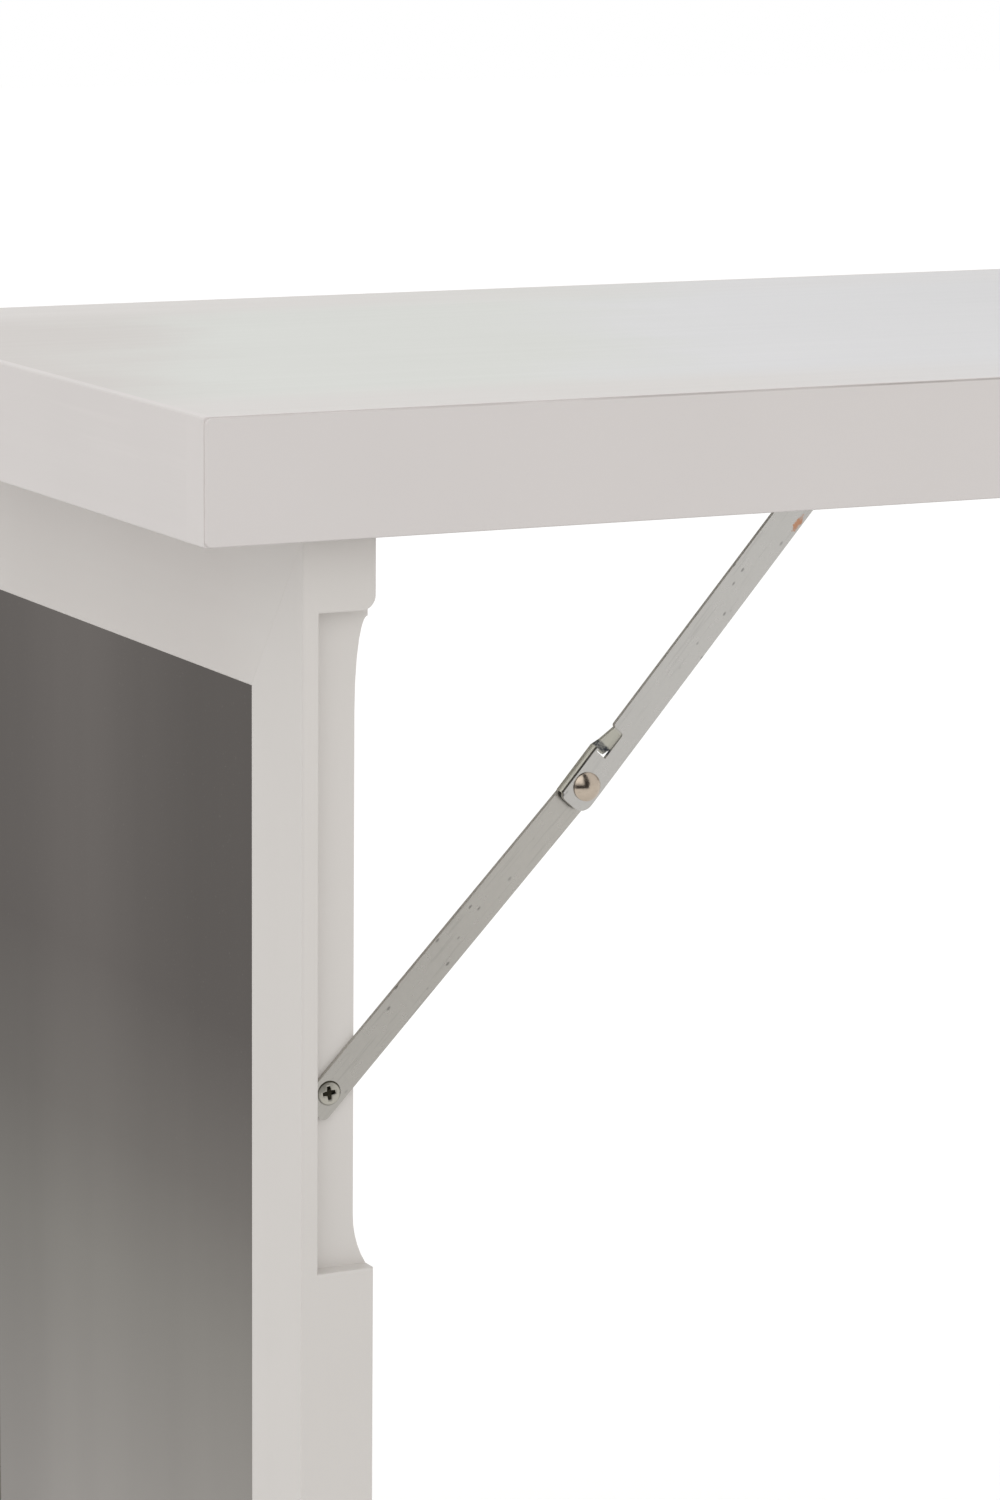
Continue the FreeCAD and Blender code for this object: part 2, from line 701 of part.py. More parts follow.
def make_hinge(kind, names, axis, start_y, inner, turns):
    """Both hinges of a kind.  names = fixed plate, moving plate, pin; turns = how far each plate hangs round."""
    hole = countersink(at("hinge_screw_head_radius"), at("hinge_screw_radius"), at(kind + "_plate_thickness") + PAST)
    fastener = flat_screw(at("hinge_screw_head_radius") - at("head_clearance"),
                          at("hinge_screw_radius") - at("head_clearance"), at("hinge_screw_length"))
    face = inner + at(kind + "_plate_thickness")
    outward = Vector(1, 0, 0)
    for order, name in enumerate(names[:2]):
        spots = hinge_screw_spots(kind, face)
        plate = hinge_half(kind, inner, order).cut(Part.makeCompound([put(hole, spot, outward) for spot in spots]))
        screws = Part.makeCompound([put(fastener, spot, outward) for spot in spots])
        where = Placement(Vector(axis.x, start_y, axis.z), Rotation(LEFT, turns[order]))
        placed = []
        for shape in (plate, screws):
            handed = shape.mirror(ORIGIN, outward) if order else shape.copy()
            handed.Placement = where.multiply(handed.Placement)
            placed.append(handed)
        pair(name + "_plate", placed[0])
        screws_right = placed[1].Solids
        group(name + "_screws", screws_right + [mirror_y(one) for one in screws_right])
    pin = Part.makeCylinder(at("pin_radius"), at(kind + "_hinge_length"), Vector(axis.x, start_y, axis.z), LEFT)
    pair(names[2], pin)


def make_hinges():
    # closed at rest: both plates hang from the knuckle, back to back
    axis = Vector(at("wall_axis_x"), 0, at("wall_axis_z"))
    start_y = at("wall_hinge_inset") - at("rim_inner_y")
    inner = -at("wall_hinge_gap") / 2 - at("wall_plate_thickness")
    make_hinge("wall", ("wall_hinge", "leaf_hinge", "wall_hinge_pin"), axis, start_y, inner, (180, 180))
    # open at rest: one plate stands up the batten, the other lies on the leg's top
    axis = Vector(at("fold_x"), 0, at("fold_z"))
    start_y = at("leg_hinge_inset") - at("leg_half")
    inner = -at("leg_knuckle_radius")
    make_hinge("leg", ("batten_hinge", "leg_hinge", "leg_hinge_pin"), axis, start_y, inner, (0, 90))


# ---------------------------------------------------------------- the leg frame

def make_leg():
    make_stiles()
    for label, outer, inner, rebate in (("leg_top_rail", "leg_top_z", "opening_top_z", "rebate_top_z"),
                                        ("leg_bottom_rail", "leg_bottom_z", "opening_bottom_z", "rebate_bottom_z")):
        make_leg_rail(label, outer, inner, rebate)
    for label, low, high in (("mirror", "mirror_x", "backing_x"), ("backing_board", "backing_x", "bead_x")):
        sheet = new_body(label)
        pad(sheet, "YZ", rectangle("-(rebate_y - mirror_clearance)", "rebate_y - mirror_clearance",
                                   "rebate_bottom_z + mirror_clearance", "rebate_top_z - mirror_clearance"), low, high)
    make_beads()
    glide = bevelled_disc(at("glide_radius"), at("glide_height"), at("glide_bevel"))
    middle_x = (at("leg_face_x") + at("leg_back_x")) / 2
    spread = at("leg_half") - at("glide_inset")
    spots = [Vector(middle_x, side * spread, at("leg_bottom_z")) for side in (-1, 1)]
    group("leg_glides", [put(glide, spot, Vector(0, 0, -1)) for spot in spots])


def make_stiles():
    """Mitred side member with the stay pocket in its outer face and a hollow along its back edge."""
    stile = new_body("stile_right")
    pad(stile, "YZ", [("-leg_half", "leg_bottom_z"), ("-leg_inner_y", "opening_bottom_z"),
                      ("-leg_inner_y", "opening_top_z"), ("-leg_half", "leg_top_z")], "leg_face_x", "leg_back_x")
    pocket(stile, "YZ", rectangle("-rebate_y", f"-leg_inner_y + {PAST}", "rebate_bottom_z", "rebate_top_z"),
           "mirror_x", "leg_back_x")
    pocket(stile, "XZ", rectangle("pocket_front_x", f"leg_back_x + {PAST}", "pocket_bottom_z", "pocket_top_z"),
           "-leg_half", "-pocket_floor_y")
    face_x = at("leg_face_x")
    back_x = at("leg_back_x")
    ear_z = at("pocket_top_z")
    dress_edges(stile, "Fillet", "ear_corner_radius", lambda edge: direction(edge) == "Y"
                and near(edge.CenterOfMass.x, back_x) and near(edge.CenterOfMass.z, ear_z))
    outer_y = -at("leg_half")
    inner_y = -at("leg_inner_y")

    ends_z = (at("leg_top_z"), at("leg_bottom_z"))

    def on_outer_face(edge):
        """On the outer face, but not the sharp corner where the mitre comes out."""
        box = edge.BoundBox
        return near(box.YMin, outer_y) and near(box.YMax, outer_y) and not (
            near(box.ZMin, *ends_z) and near(box.ZMax, *ends_z))

    dress_edges(stile, "Fillet", "arris", lambda edge: on_outer_face(edge)
                or (direction(edge) == "Z" and near(edge.CenterOfMass.x, face_x)
                    and near(edge.CenterOfMass.y, inner_y)))
    doc.recompute()
    mirrored(drilled("stile_right", stile, [scoop()]), "stile_left")


def make_leg_rail(label, outer, inner, rebate):
    rail = new_body(label)
    pad(rail, "YZ", [("-leg_half", outer), ("leg_half", outer), ("leg_inner_y", inner), ("-leg_inner_y", inner)],
        "leg_face_x", "leg_back_x")
    low, high = (inner, rebate) if at(inner) < at(rebate) else (rebate, inner)
    pocket(rail, "YZ", rectangle("-rebate_y", "rebate_y", low, high), "mirror_x", "leg_back_x")
    face_x = at("leg_face_x")
    inner_z = at(inner)
    # the sharp front edges of the mitres are broken, which leaves a fine line at each joint
    dress_edges(rail, "Chamfer", "mitre_break", lambda edge: isinstance(edge.Curve, Part.Line)
                and direction(edge) == "" and near(edge.CenterOfMass.x, face_x))
    dress_edges(rail, "Fillet", "arris", lambda edge: direction(edge) == "Y"
                and near(edge.CenterOfMass.x, face_x) and near(edge.CenterOfMass.z, inner_z))


def make_beads():
    """Four strips behind the backing board that hold the mirror in its rebate."""
    for label, low, high in (("mirror_bead_top", "rebate_top_z - bead_width", "rebate_top_z"),
                             ("mirror_bead_bottom", "rebate_bottom_z", "rebate_bottom_z + bead_width")):
        bead = new_body(label)
        pad(bead, "YZ", rectangle("-rebate_y", "rebate_y", low, high), "bead_x", "bead_back_x")
    side = new_body("mirror_bead_right")
    pad(side, "YZ", rectangle("-rebate_y", "-(rebate_y - bead_width)", "rebate_bottom_z + bead_width",
                              "rebate_top_z - bead_width"), "bead_x", "bead_back_x")
    mirrored(side, "mirror_bead_left")


def scoop():
    """Cutter for the hollow in the stile's back edge: a long sweep at the top, a round cove at the bottom."""
    back = at("leg_back_x")
    floor = at("scoop_floor_x")
    deep = at("scoop_depth")
    radius = at("scoop_low_radius")
    top = at("scoop_top_z")
    sweep_end = top - at("scoop_top_run")
    low_run = math.sqrt(2 * radius * deep - deep * deep)
    cove_start = at("pocket_bottom_z") + low_run
    half_turn = math.asin(low_run / radius) / 2
    y = -at("leg_half") - PAST

    # a quarter ellipse, drawn as one cubic curve
    pull = 4 * (math.sqrt(2) - 1) / 3
    sweep = Part.BezierCurve()
    sweep.setPoles([Vector(back, y, top), Vector(back - pull * deep, y, top),
                    Vector(floor, y, sweep_end + pull * at("scoop_top_run")), Vector(floor, y, sweep_end)])
    middle = Vector(floor + radius * (1 - math.cos(half_turn)), y, cove_start - radius * math.sin(half_turn))
    low_end = Vector(back, y, at("pocket_bottom_z"))
    cove = Part.Arc(Vector(floor, y, cove_start), middle, low_end)
    edges = [sweep.toShape()]
    edges += profile_edges([Vector(floor, y, sweep_end), Vector(floor, y, cove_start)])
    edges += [cove.toShape()]
    edges += profile_edges([low_end, Vector(back + PAST, y, low_end.z), Vector(back + PAST, y, top),
                            Vector(back, y, top)])
    return Part.Face(Part.Wire(edges)).extrude(Vector(0, at("stile_width") + 2 * PAST, 0))


# ---------------------------------------------------------------- the folding stays

def arm_outline(length, clipped):
    """Corners of a flat arm along +X from the joint, blunt at both ends.

    The far end of a clipped arm loses the corner that would strike the pocket's front wall."""
    near_end = "-arm_end"
    far_end = f"{length} + arm_end"
    corners = [(near_end, "-arm_half_width")]
    if clipped:
        corners += [(f"{length} + arm_end / 4", "-arm_half_width"), (far_end, "0"), (far_end, "arm_half_width")]
    else:
        corners += [(far_end, "-arm_half_width"), (far_end, "arm_half_width")]
    return corners + [(near_end, "arm_half_width")]


def round_arm_corners(body, joint_radius):
    """Round the arm's corners: one radius at the joint's free edge, one everywhere else."""
    half = at("arm_half_width")
    joint_end = -at("arm_end")

    def at_joint(edge):
        return near(edge.CenterOfMass.x, joint_end) and near(edge.CenterOfMass.z, -half)

    dress_edges(body, "Fillet", joint_radius, lambda edge: direction(edge) == "Y" and at_joint(edge))
    dress_edges(body, "Fillet", "arm_corner_radius", lambda edge: direction(edge) == "Y" and not at_joint(edge)
                and near(abs(edge.CenterOfMass.z), half))


def make_lower_arm():
    """Plain bar from the joint to the foot screw."""
    arm = new_body("lower_arm_blank")
    pad(arm, "XZ", arm_outline("lower_length", True), "0", "arm_thickness")
    round_arm_corners(arm, "arm_corner_radius")
    doc.recompute()
    foot_hole = countersink(at("stay_screw_head_radius"), at("pivot_hole_radius"), at("arm_thickness") + PAST)
    foot_hole = put(foot_hole, Vector(at("lower_length"), 0, 0), RIGHT)
    return arm.Shape.cut(pivot_hole()).cut(foot_hole)


def make_upper_arm():
    """Bar with the locking details beside the joint, all pressed from one piece of strip steel."""
    arm = new_body("upper_arm_blank")
    pad(arm, "XZ", arm_outline("upper_length", False), "0", "arm_thickness")
    round_arm_corners(arm, "joint_corner_radius")
    pocket(arm, "XZ", rectangle("notch_low", "notch_high", "notch_floor", f"arm_half_width + {PAST}"),
           "0", "arm_thickness")
    notch_x = at("notch_high")
    dress_edges(arm, "Fillet", "notch_corner_radius",
                lambda edge: direction(edge) == "Y" and near(edge.CenterOfMass.x, notch_x))
    doc.recompute()
    head_hole = countersink(at("top_screw_head_radius"), at("pivot_hole_radius"), at("arm_thickness") + PAST)
    head_hole = put(head_hole, Vector(at("upper_length"), at("arm_thickness"), 0), LEFT)
    shape = arm.Shape.fuse(stop_flange()).fuse(twisted_strip())
    return shape.cut(pivot_hole()).cut(head_hole).removeSplitter()


def pivot_hole():
    """The hole at an arm's joint end, straight through its thickness."""
    return Part.makeCylinder(at("pivot_hole_radius"), at("arm_thickness") + 2 * PAST, Vector(0, -PAST, 0), LEFT)


def stop_flange():
    """The edge folded back beside the lower arm's edge, with a rolled bend."""
    plate = at("arm_thickness")
    inner = at("flange_inner")
    outer = at("flange_outer")
    deep = at("flange_depth")
    lap = at("arm_half_width") - PAST
    low = at("flange_low")
    high = at("notch_low") + at("strip_tip_gap") + at("strip_side_gap")
    roll = math.sqrt(0.5) * plate
    bend = Part.Arc(Vector(low, 0, outer - plate), Vector(low, plate - roll, outer - plate + roll),
                    Vector(low, plate, outer))
    edges = profile_edges([Vector(low, 0, lap), Vector(low, 0, outer - plate)]) + [bend.toShape()]
    edges += profile_edges([Vector(low, plate, outer), Vector(low, deep, outer), Vector(low, deep, inner),
                            Vector(low, plate, inner), Vector(low, plate, lap), Vector(low, 0, lap)])
    return Part.Face(Part.Wire(edges)).extrude(Vector(high - low, 0, 0))


def twisted_strip():
    """The strip cut free by the notch: creased down at its root, it twists on down to the flange at its tip."""
    low = at("notch_floor") + at("strip_side_gap")
    tip = at("notch_low") + at("strip_tip_gap")
    root = at("notch_high") + at("strip_lap")
    drop = at("flange_depth") - at("arm_thickness")
    sections = [
        (tip, at("strip_tip_rise"), at("flange_outer"), drop),
        (tip + at("strip_bend_run"), low, at("strip_bend_height"), at("strip_bend_drop")),
        (root - at("strip_crease_run"), low, at("strip_root_height"), at("strip_crease_drop")),
        (root, low, at("strip_root_height"), 0),
    ]
    return Part.makeLoft([strip_section(*section) for section in sections], True, True)


def strip_section(along, low, high, drop):
    """The strip's rectangular section at one place along the arm."""
    bottom = drop + at("arm_thickness")
    return Part.makePolygon([Vector(along, drop, low), Vector(along, drop, high), Vector(along, bottom, high),
                             Vector(along, bottom, low), Vector(along, drop, low)])


def make_rivet():
    """Domed rivet head with its shank through the upper arm, rim on z = 0."""
    radius = at("rivet_head_radius")
    rim = at("rivet_rim")
    crest = at("rivet_head_height")
    shank = at("pivot_hole_radius")
    plate = at("arm_thickness")
    start = Vector(0, 0, -plate)
    edges = profile_edges([start, Vector(shank, 0, -plate), Vector(shank, 0, 0), Vector(radius, 0, 0),
                           Vector(radius, 0, rim)])
    return revolved(edges + [cap_arc(radius, rim, crest)] + profile_edges([Vector(0, 0, crest), start]))


def turned(shape, point, front_y, towards):
    """Place an arm: its +X looks along towards in the XZ plane, its outer face at y = -front_y."""
    lift = math.degrees(math.atan2(towards.z, towards.x))
    copy = shape.copy()
    copy.Placement = Placement(Vector(point.x, -front_y, point.z), Rotation(RIGHT, lift))
    return copy


def make_stays():
    joint = Vector(at("joint_x"), 0, at("joint_z"))
    foot = Vector(at("foot_x"), 0, at("foot_z"))
    head = Vector(at("head_x"), 0, at("head_z"))
    pair("upper_arm", turned(make_upper_arm(), joint, at("upper_front_y"), head - joint))
    pair("lower_arm", turned(make_lower_arm(), joint, at("lower_front_y"), foot - joint))

    plate = at("arm_thickness")
    upper_joint = Vector(joint.x, -at("upper_front_y"), joint.z)
    lower_joint = Vector(joint.x, -at("lower_front_y"), joint.z)
    washer = at("arm_gap") - at("spacer_clearance")
    pair("stay_rivet", put(make_rivet(), upper_joint, RIGHT))
    spacer = Part.makeCylinder(at("spacer_radius"), washer, Vector(0, 0, -plate - washer))
    pair("stay_spacer", put(spacer, upper_joint, RIGHT))
    closing = Part.makeCylinder(at("pivot_hole_radius"), plate, Vector(0, 0, -plate))
    pair("stay_rivet_foot", put(closing, lower_joint, RIGHT))
    make_stay_screws(foot, head)


def make_stay_screws(foot, head):
    """The screw that carries the lower arm on the stile, and the one that carries the upper arm on the leaf."""
    shank = at("pivot_hole_radius") - at("pivot_clearance")
    clear = at("head_clearance")
    foot_screw = raised_screw(at("stay_screw_head_radius") - clear, at("stay_screw_crown"), shank,
                              at("arm_thickness") + at("arm_floor_gap") + at("stay_screw_grip"))
    pair("stay_foot_screw", put(foot_screw, Vector(foot.x, -at("lower_front_y"), foot.z), RIGHT))

    sleeve_length = at("rim_inner_y") - at("upper_front_y")
    sleeve = Part.makeCylinder(at("bush_radius"), sleeve_length)
    sleeve = sleeve.cut(Part.makeCylinder(at("pivot_hole_radius"), sleeve_length))
    pair("stay_bush", put(sleeve, Vector(head.x, -at("rim_inner_y"), head.z), LEFT))
    reach = at("rim_inner_y") - at("upper_back_y") + at("top_screw_grip")
    head_screw = flat_screw(at("top_screw_head_radius") - clear, shank, reach)
    pair("stay_top_screw", put(head_screw, Vector(head.x, -at("upper_back_y"), head.z), LEFT))


# ---------------------------------------------------------------- build, check, write

make_leaf()
make_wall_board()
make_hinge_rail()
make_catch_rail()
make_rail_screws()
make_leg()
make_hinges()
make_stays()
doc.recompute()

bored("wall_board", "rail_screws")
bored("hinge_rail", "wall_hinge_screws")
bored("wall_end_board", "leaf_hinge_screws")
bored("top_panel", "leaf_hinge_screws")
bored("hinge_batten", "batten_hinge_screws")
bored("leg_top_rail", "leg_hinge_screws")
for hand in ("right", "left"):
    bored("stile_" + hand, "stay_foot_screw_" + hand)
    bored("side_board_" + hand, "stay_top_screw_" + hand)
doc.recompute()

SINGLE_NODES = [
    "wall_board", "hinge_rail", "catch_rail", "rail_screws", "catch_magnets", "leaf_buffers", "wall_hinge_screws",
    "top_panel", "end_board", "wall_end_board", "hinge_batten", "leaf_magnets", "leaf_hinge_screws",
    "batten_hinge_screws", "leg_top_rail", "leg_bottom_rail", "mirror", "backing_board", "mirror_bead_top",
    "mirror_bead_bottom", "leg_glides", "leg_hinge_screws",
]
PAIRED_NODES = [
    "wall_hinge_plate", "wall_hinge_pin", "side_board", "edge_strip", "leaf_hinge_plate", "batten_hinge_plate",
    "leg_hinge_pin", "stay_bush", "stay_top_screw", "stile", "mirror_bead", "leg_hinge_plate", "stay_foot_screw",
    "upper_arm", "lower_arm", "stay_rivet", "stay_spacer", "stay_rivet_foot",
]
NODES = SINGLE_NODES + [f"{name}_{hand}" for name in PAIRED_NODES for hand in ("right", "left")]

for thing in doc.Objects:
    if "Invalid" in thing.State or "Error" in thing.State:
        raise RuntimeError(f"{thing.Label} did not compute")

by_label = {thing.Label: thing for thing in doc.Objects}
os.makedirs("parts", exist_ok=True)
for node in NODES:
    piece = by_label[node].Shape
    if piece.isNull() or not piece.isValid() or not piece.Solids:
        raise RuntimeError(f"{node} has no valid solid")
for node in NODES:
    by_label[node].Shape.exportStep(f"parts/{node}.step")

for alias in ("fold_x", "fold_z", "wall_axis_x", "wall_axis_z", "foot_x", "foot_z", "head_x", "head_z",
              "joint_x", "joint_z", "lower_length", "upper_length", "upper_front_y", "lower_front_y"):
    print(alias, round(at(alias), 4))
print(len(NODES), "pieces written")
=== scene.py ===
# %% [markdown]
# # A fold-down wall table with a mirror for a leg
# The joinery, the hinges and the folding stays come in as a finished frame of solids.  What is left
# for Blender is the look of each of them: brushed white paint, silvered glass, plated steel, rubber,
# and the small heads of screws and rivets, which are worth a closer model than the frame gives them.
# Everything is in metres.  +X points into the wall, +Z points up, and Z = 0 is the table top.

# %% Load the frame
import bpy
import math
from mathutils import Matrix, Vector


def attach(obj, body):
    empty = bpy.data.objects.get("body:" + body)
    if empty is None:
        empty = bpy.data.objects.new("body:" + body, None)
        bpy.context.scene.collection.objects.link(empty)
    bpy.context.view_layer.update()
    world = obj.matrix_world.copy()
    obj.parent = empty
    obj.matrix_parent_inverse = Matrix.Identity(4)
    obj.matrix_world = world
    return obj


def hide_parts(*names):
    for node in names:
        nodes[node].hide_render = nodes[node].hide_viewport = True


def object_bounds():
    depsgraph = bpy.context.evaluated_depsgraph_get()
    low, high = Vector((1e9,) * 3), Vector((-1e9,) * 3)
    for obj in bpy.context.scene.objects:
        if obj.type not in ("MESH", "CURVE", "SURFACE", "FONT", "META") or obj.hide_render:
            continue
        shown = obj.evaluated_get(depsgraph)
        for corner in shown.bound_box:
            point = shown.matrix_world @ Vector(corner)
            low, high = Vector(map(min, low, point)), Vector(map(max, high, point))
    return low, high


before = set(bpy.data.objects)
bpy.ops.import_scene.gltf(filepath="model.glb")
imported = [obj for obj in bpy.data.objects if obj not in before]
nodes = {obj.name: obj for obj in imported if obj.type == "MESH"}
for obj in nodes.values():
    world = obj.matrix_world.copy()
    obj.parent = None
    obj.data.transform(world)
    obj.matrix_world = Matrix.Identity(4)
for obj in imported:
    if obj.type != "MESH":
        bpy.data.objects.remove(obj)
cad_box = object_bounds()
MM = 0.001
print("pieces in the frame:", len(nodes))
print("box of the table:", cad_box)
bpy.ops.object.select_all(action="DESELECT")

# %% [markdown]
# ## Small helpers for materials
# A material is a small network of nodes.  These helpers make one, add a node and join two sockets, so
# that each finish below reads as a list of what it is made of.

# %% Helpers for node networks
def fresh_material(name):
    material = bpy.data.materials.new(name)
    material.use_nodes = True
    material.node_tree.nodes.clear()
    return material


def add(tree, kind, **values):
    node = tree.nodes.new(kind)
    for key, value in values.items():
        setattr(node, key, value)
    return node


def join(tree, source, target):
    tree.links.new(source, target)


def linear(red, green, blue):
    """A colour as a screen shows it, turned by the screens' standard curve into amounts of light."""
    parts = []
    for value in (red, green, blue):
        share = value / 255
        parts.append(share / 12.92 if share <= 0.04045 else ((share + 0.055) / 1.055) ** 2.4)
    return (*parts, 1.0)


# %% [markdown]
# ## Sums inside a material
# Most finishes are a colour times a few masks.  A mask is a value from 0 to 1 that says where an effect
# shows.  `spread` stretches a value to a new range, `mask` does that to 0 and 1, `times` multiplies, and
# `tinted` colours the result.  A noise could give any value from 0 to 1, but hardly ever leaves
# NOISE_RANGE, so that is the range to stretch where an effect should use its full strength.

# %% Helpers for sums and masks
NOISE_RANGE = (0.3, 0.7)


def spread(tree, source, start, end, low, high, smooth=False):
    """Turn start..end of a value into low..high, held at both ends."""
    node = add(tree, "ShaderNodeMapRange")
    if smooth:
        node.interpolation_type = "SMOOTHSTEP"
    for socket, value in zip(("From Min", "From Max", "To Min", "To Max"), (start, end, low, high)):
        node.inputs[socket].default_value = value
    join(tree, source, node.inputs["Value"])
    return node.outputs[0]


def mask(tree, source, start, end, smooth=False):
    """0 where a value is start or less, 1 where it is end or more."""
    return spread(tree, source, start, end, 0, 1, smooth)


def math_step(tree, operation, first, second=0.0):
    """One sum of one or two values, each a socket or a plain number."""
    node = add(tree, "ShaderNodeMath", operation=operation)
    for socket, value in zip(node.inputs, (first, second)):
        if isinstance(value, (int, float)):
            socket.default_value = value
        else:
            join(tree, value, socket)
    return node.outputs[0]


def plus(tree, first, second):
    return math_step(tree, "ADD", first, second)


def minus(tree, first, second):
    return math_step(tree, "SUBTRACT", first, second)


def times(tree, *sources):
    result = sources[0]
    for source in sources[1:]:
        result = math_step(tree, "MULTIPLY", result, source)
    return result


def tinted(tree, colour, shade):
    """A colour, fixed or from a socket, times a shade that changes over the surface."""
    node = add(tree, "ShaderNodeVectorMath", operation="MULTIPLY")
    if isinstance(colour, tuple):
        node.inputs[0].default_value = colour[:3]
    else:
        join(tree, colour, node.inputs[0])
    join(tree, shade, node.inputs[1])
    return node.outputs[0]


def mixed(tree, share, first, second):
    """A blend of two colours, each a socket or a fixed colour."""
    node = add(tree, "ShaderNodeMix", data_type="RGBA")
    join(tree, share, node.inputs[0])
    for socket, value in ((node.inputs[6], first), (node.inputs[7], second)):
        if isinstance(value, tuple):
            socket.default_value = value
        else:
            join(tree, value, socket)
    return node.outputs[2]


def noise(tree, place, scale=1.0, detail=2.0):
    node = add(tree, "ShaderNodeTexNoise")
    node.inputs["Scale"].default_value = scale
    node.inputs["Detail"].default_value = detail
    join(tree, place, node.inputs["Vector"])
    return node.outputs["Fac"]


def stretched(tree, place, factors):
    node = add(tree, "ShaderNodeVectorMath", operation="MULTIPLY")
    node.inputs[1].default_value = factors
    join(tree, place, node.inputs[0])
    return node.outputs[0]


# %% [markdown]
# ## Places on a piece
# Every pattern below is fixed to the piece, because it reads the Object coordinates.  Where a piece has
# an origin and a direction of its own, such as a steel arm, a Mapping node moves the pattern there.
# The table is the same on both sides of its middle plane, so what sits on both hands is placed by its
# distance from that plane.

# %% Helpers for places on a piece
def object_place(tree):
    return add(tree, "ShaderNodeTexCoord").outputs["Object"]


def local_place(tree, origin, turn):
    """Object coordinates seen from origin, with X along a bar that rises by the angle turn."""
    node = add(tree, "ShaderNodeMapping", vector_type="TEXTURE")
    node.inputs["Location"].default_value = origin
    node.inputs["Rotation"].default_value = (0, -turn, 0)
    join(tree, object_place(tree), node.inputs["Vector"])
    return node.outputs[0]


def axes(tree, place):
    node = add(tree, "ShaderNodeSeparateXYZ")
    join(tree, place, node.inputs[0])
    return node.outputs["X"], node.outputs["Y"], node.outputs["Z"]


def from_middle(tree):
    """How far a point lies from the table's middle plane, on either side."""
    _, y, _ = axes(tree, object_place(tree))
    return math_step(tree, "ABSOLUTE", y)


def start_finish(name, metallic=0.0):
    """A new material with one Principled shader, joined to its output."""
    material = fresh_material(name)
    tree = material.node_tree
    out = add(tree, "ShaderNodeOutputMaterial")
    shader = add(tree, "ShaderNodeBsdfPrincipled")
    shader.inputs["Metallic"].default_value = metallic
    join(tree, shader.outputs[0], out.inputs["Surface"])
    return material, tree, shader


def roughen(tree, shader, height, strength, distance):
    bump = add(tree, "ShaderNodeBump")
    bump.inputs["Strength"].default_value = strength
    bump.inputs["Distance"].default_value = distance
    join(tree, height, bump.inputs["Height"])
    join(tree, bump.outputs[0], shader.inputs["Normal"])


# %% [markdown]
# ## Brush marks
# Paint that was laid on with a brush dries with faint parallel ridges.  They run along the board, so
# the pattern is a noise that is stretched: coarse along one axis and fine across it.  Board edges and
# faces need it in different directions, which is why the group takes the stretch as an input.  Its
# second output is a slow drift, for places where the coat is a little thicker or thinner, and its third
# is a scatter of broad lighter strokes, which show on the boards that lie across the table.

# %% Shader group: brush marks in paint
RIDGE_DETAIL = 4.0
DRIFT_SCALE, DRIFT_DETAIL = 9.0, 3.0
STROKE_SCALE, STROKE_DETAIL = 0.42, 3.0
STROKE_RANGE = (0.54, 0.70)


def make_brush_group():
    group = bpy.data.node_groups.new("brush_marks", "ShaderNodeTree")
    sockets = group.interface
    sockets.new_socket("Stretch", in_out="INPUT", socket_type="NodeSocketVector")
    for name in ("Height", "Drift", "Strokes"):
        sockets.new_socket(name, in_out="OUTPUT", socket_type="NodeSocketFloat")
    enter = add(group, "NodeGroupInput")
    leave = add(group, "NodeGroupOutput")
    place = object_place(group)
    stretch = add(group, "ShaderNodeVectorMath", operation="MULTIPLY")
    join(group, place, stretch.inputs[0])
    join(group, enter.outputs["Stretch"], stretch.inputs[1])
    along = stretch.outputs[0]
    join(group, noise(group, along, detail=RIDGE_DETAIL), leave.inputs["Height"])
    drift = noise(group, place, DRIFT_SCALE, DRIFT_DETAIL)
    join(group, mask(group, drift, *NOISE_RANGE), leave.inputs["Drift"])
    broad = noise(group, along, STROKE_SCALE, STROKE_DETAIL)
    join(group, mask(group, broad, *STROKE_RANGE, smooth=True), leave.inputs["Strokes"])
    print("group", group.name, "with", len(group.nodes), "nodes")
    return group


brush_group = make_brush_group()

# %% [markdown]
# ## White satin paint
# One paint covers all the woodwork.  It is a warm, slightly grey white with a soft sheen.  Its colour
# drifts a little from place to place, and the brush ridges catch the light through a Bump node.  Ridges
# in the mesh would need millions of faces for something that is thinner than a hair.
#
# The leg's rails have a painted shade, greyer in the middle, and its stiles have painted light, a little
# lighter towards the top on their outer sides.  A mask for each of the two does that.

# %% Material: satin paint
PAINT_SHEEN = 0.4
PAINT_ROUGHNESS = 0.42
SMOOTHER, ROUGHER = 0.05, 0.07
RIDGE_HEIGHT = 0.4 * MM
FAINT_STROKES = 0.004
DRIFT_SHADES = (0.985, 1.008)
MIDDLE_FADE = (0.10, 0.17)


def start_paint(name, stretch, ridge, roughness=PAINT_ROUGHNESS):
    """Everything of the paint but its colour: sheen, brush ridges and the masks they come from."""
    material, tree, shader = start_finish(name)
    shader.inputs["Specular IOR Level"].default_value = PAINT_SHEEN
    marks = add(tree, "ShaderNodeGroup", node_tree=brush_group)
    marks.inputs["Stretch"].default_value = stretch
    height = marks.outputs["Height"]
    rough = spread(tree, height, 0, 1, roughness - SMOOTHER, roughness + ROUGHER)
    join(tree, rough, shader.inputs["Roughness"])
    roughen(tree, shader, height, ridge, RIDGE_HEIGHT)
    return material, tree, shader, marks


def drift_shade(tree, marks, shades=DRIFT_SHADES):
    """The slow change of shade from one place of a board to another."""
    return spread(tree, marks.outputs["Drift"], 0, 1, *shades)


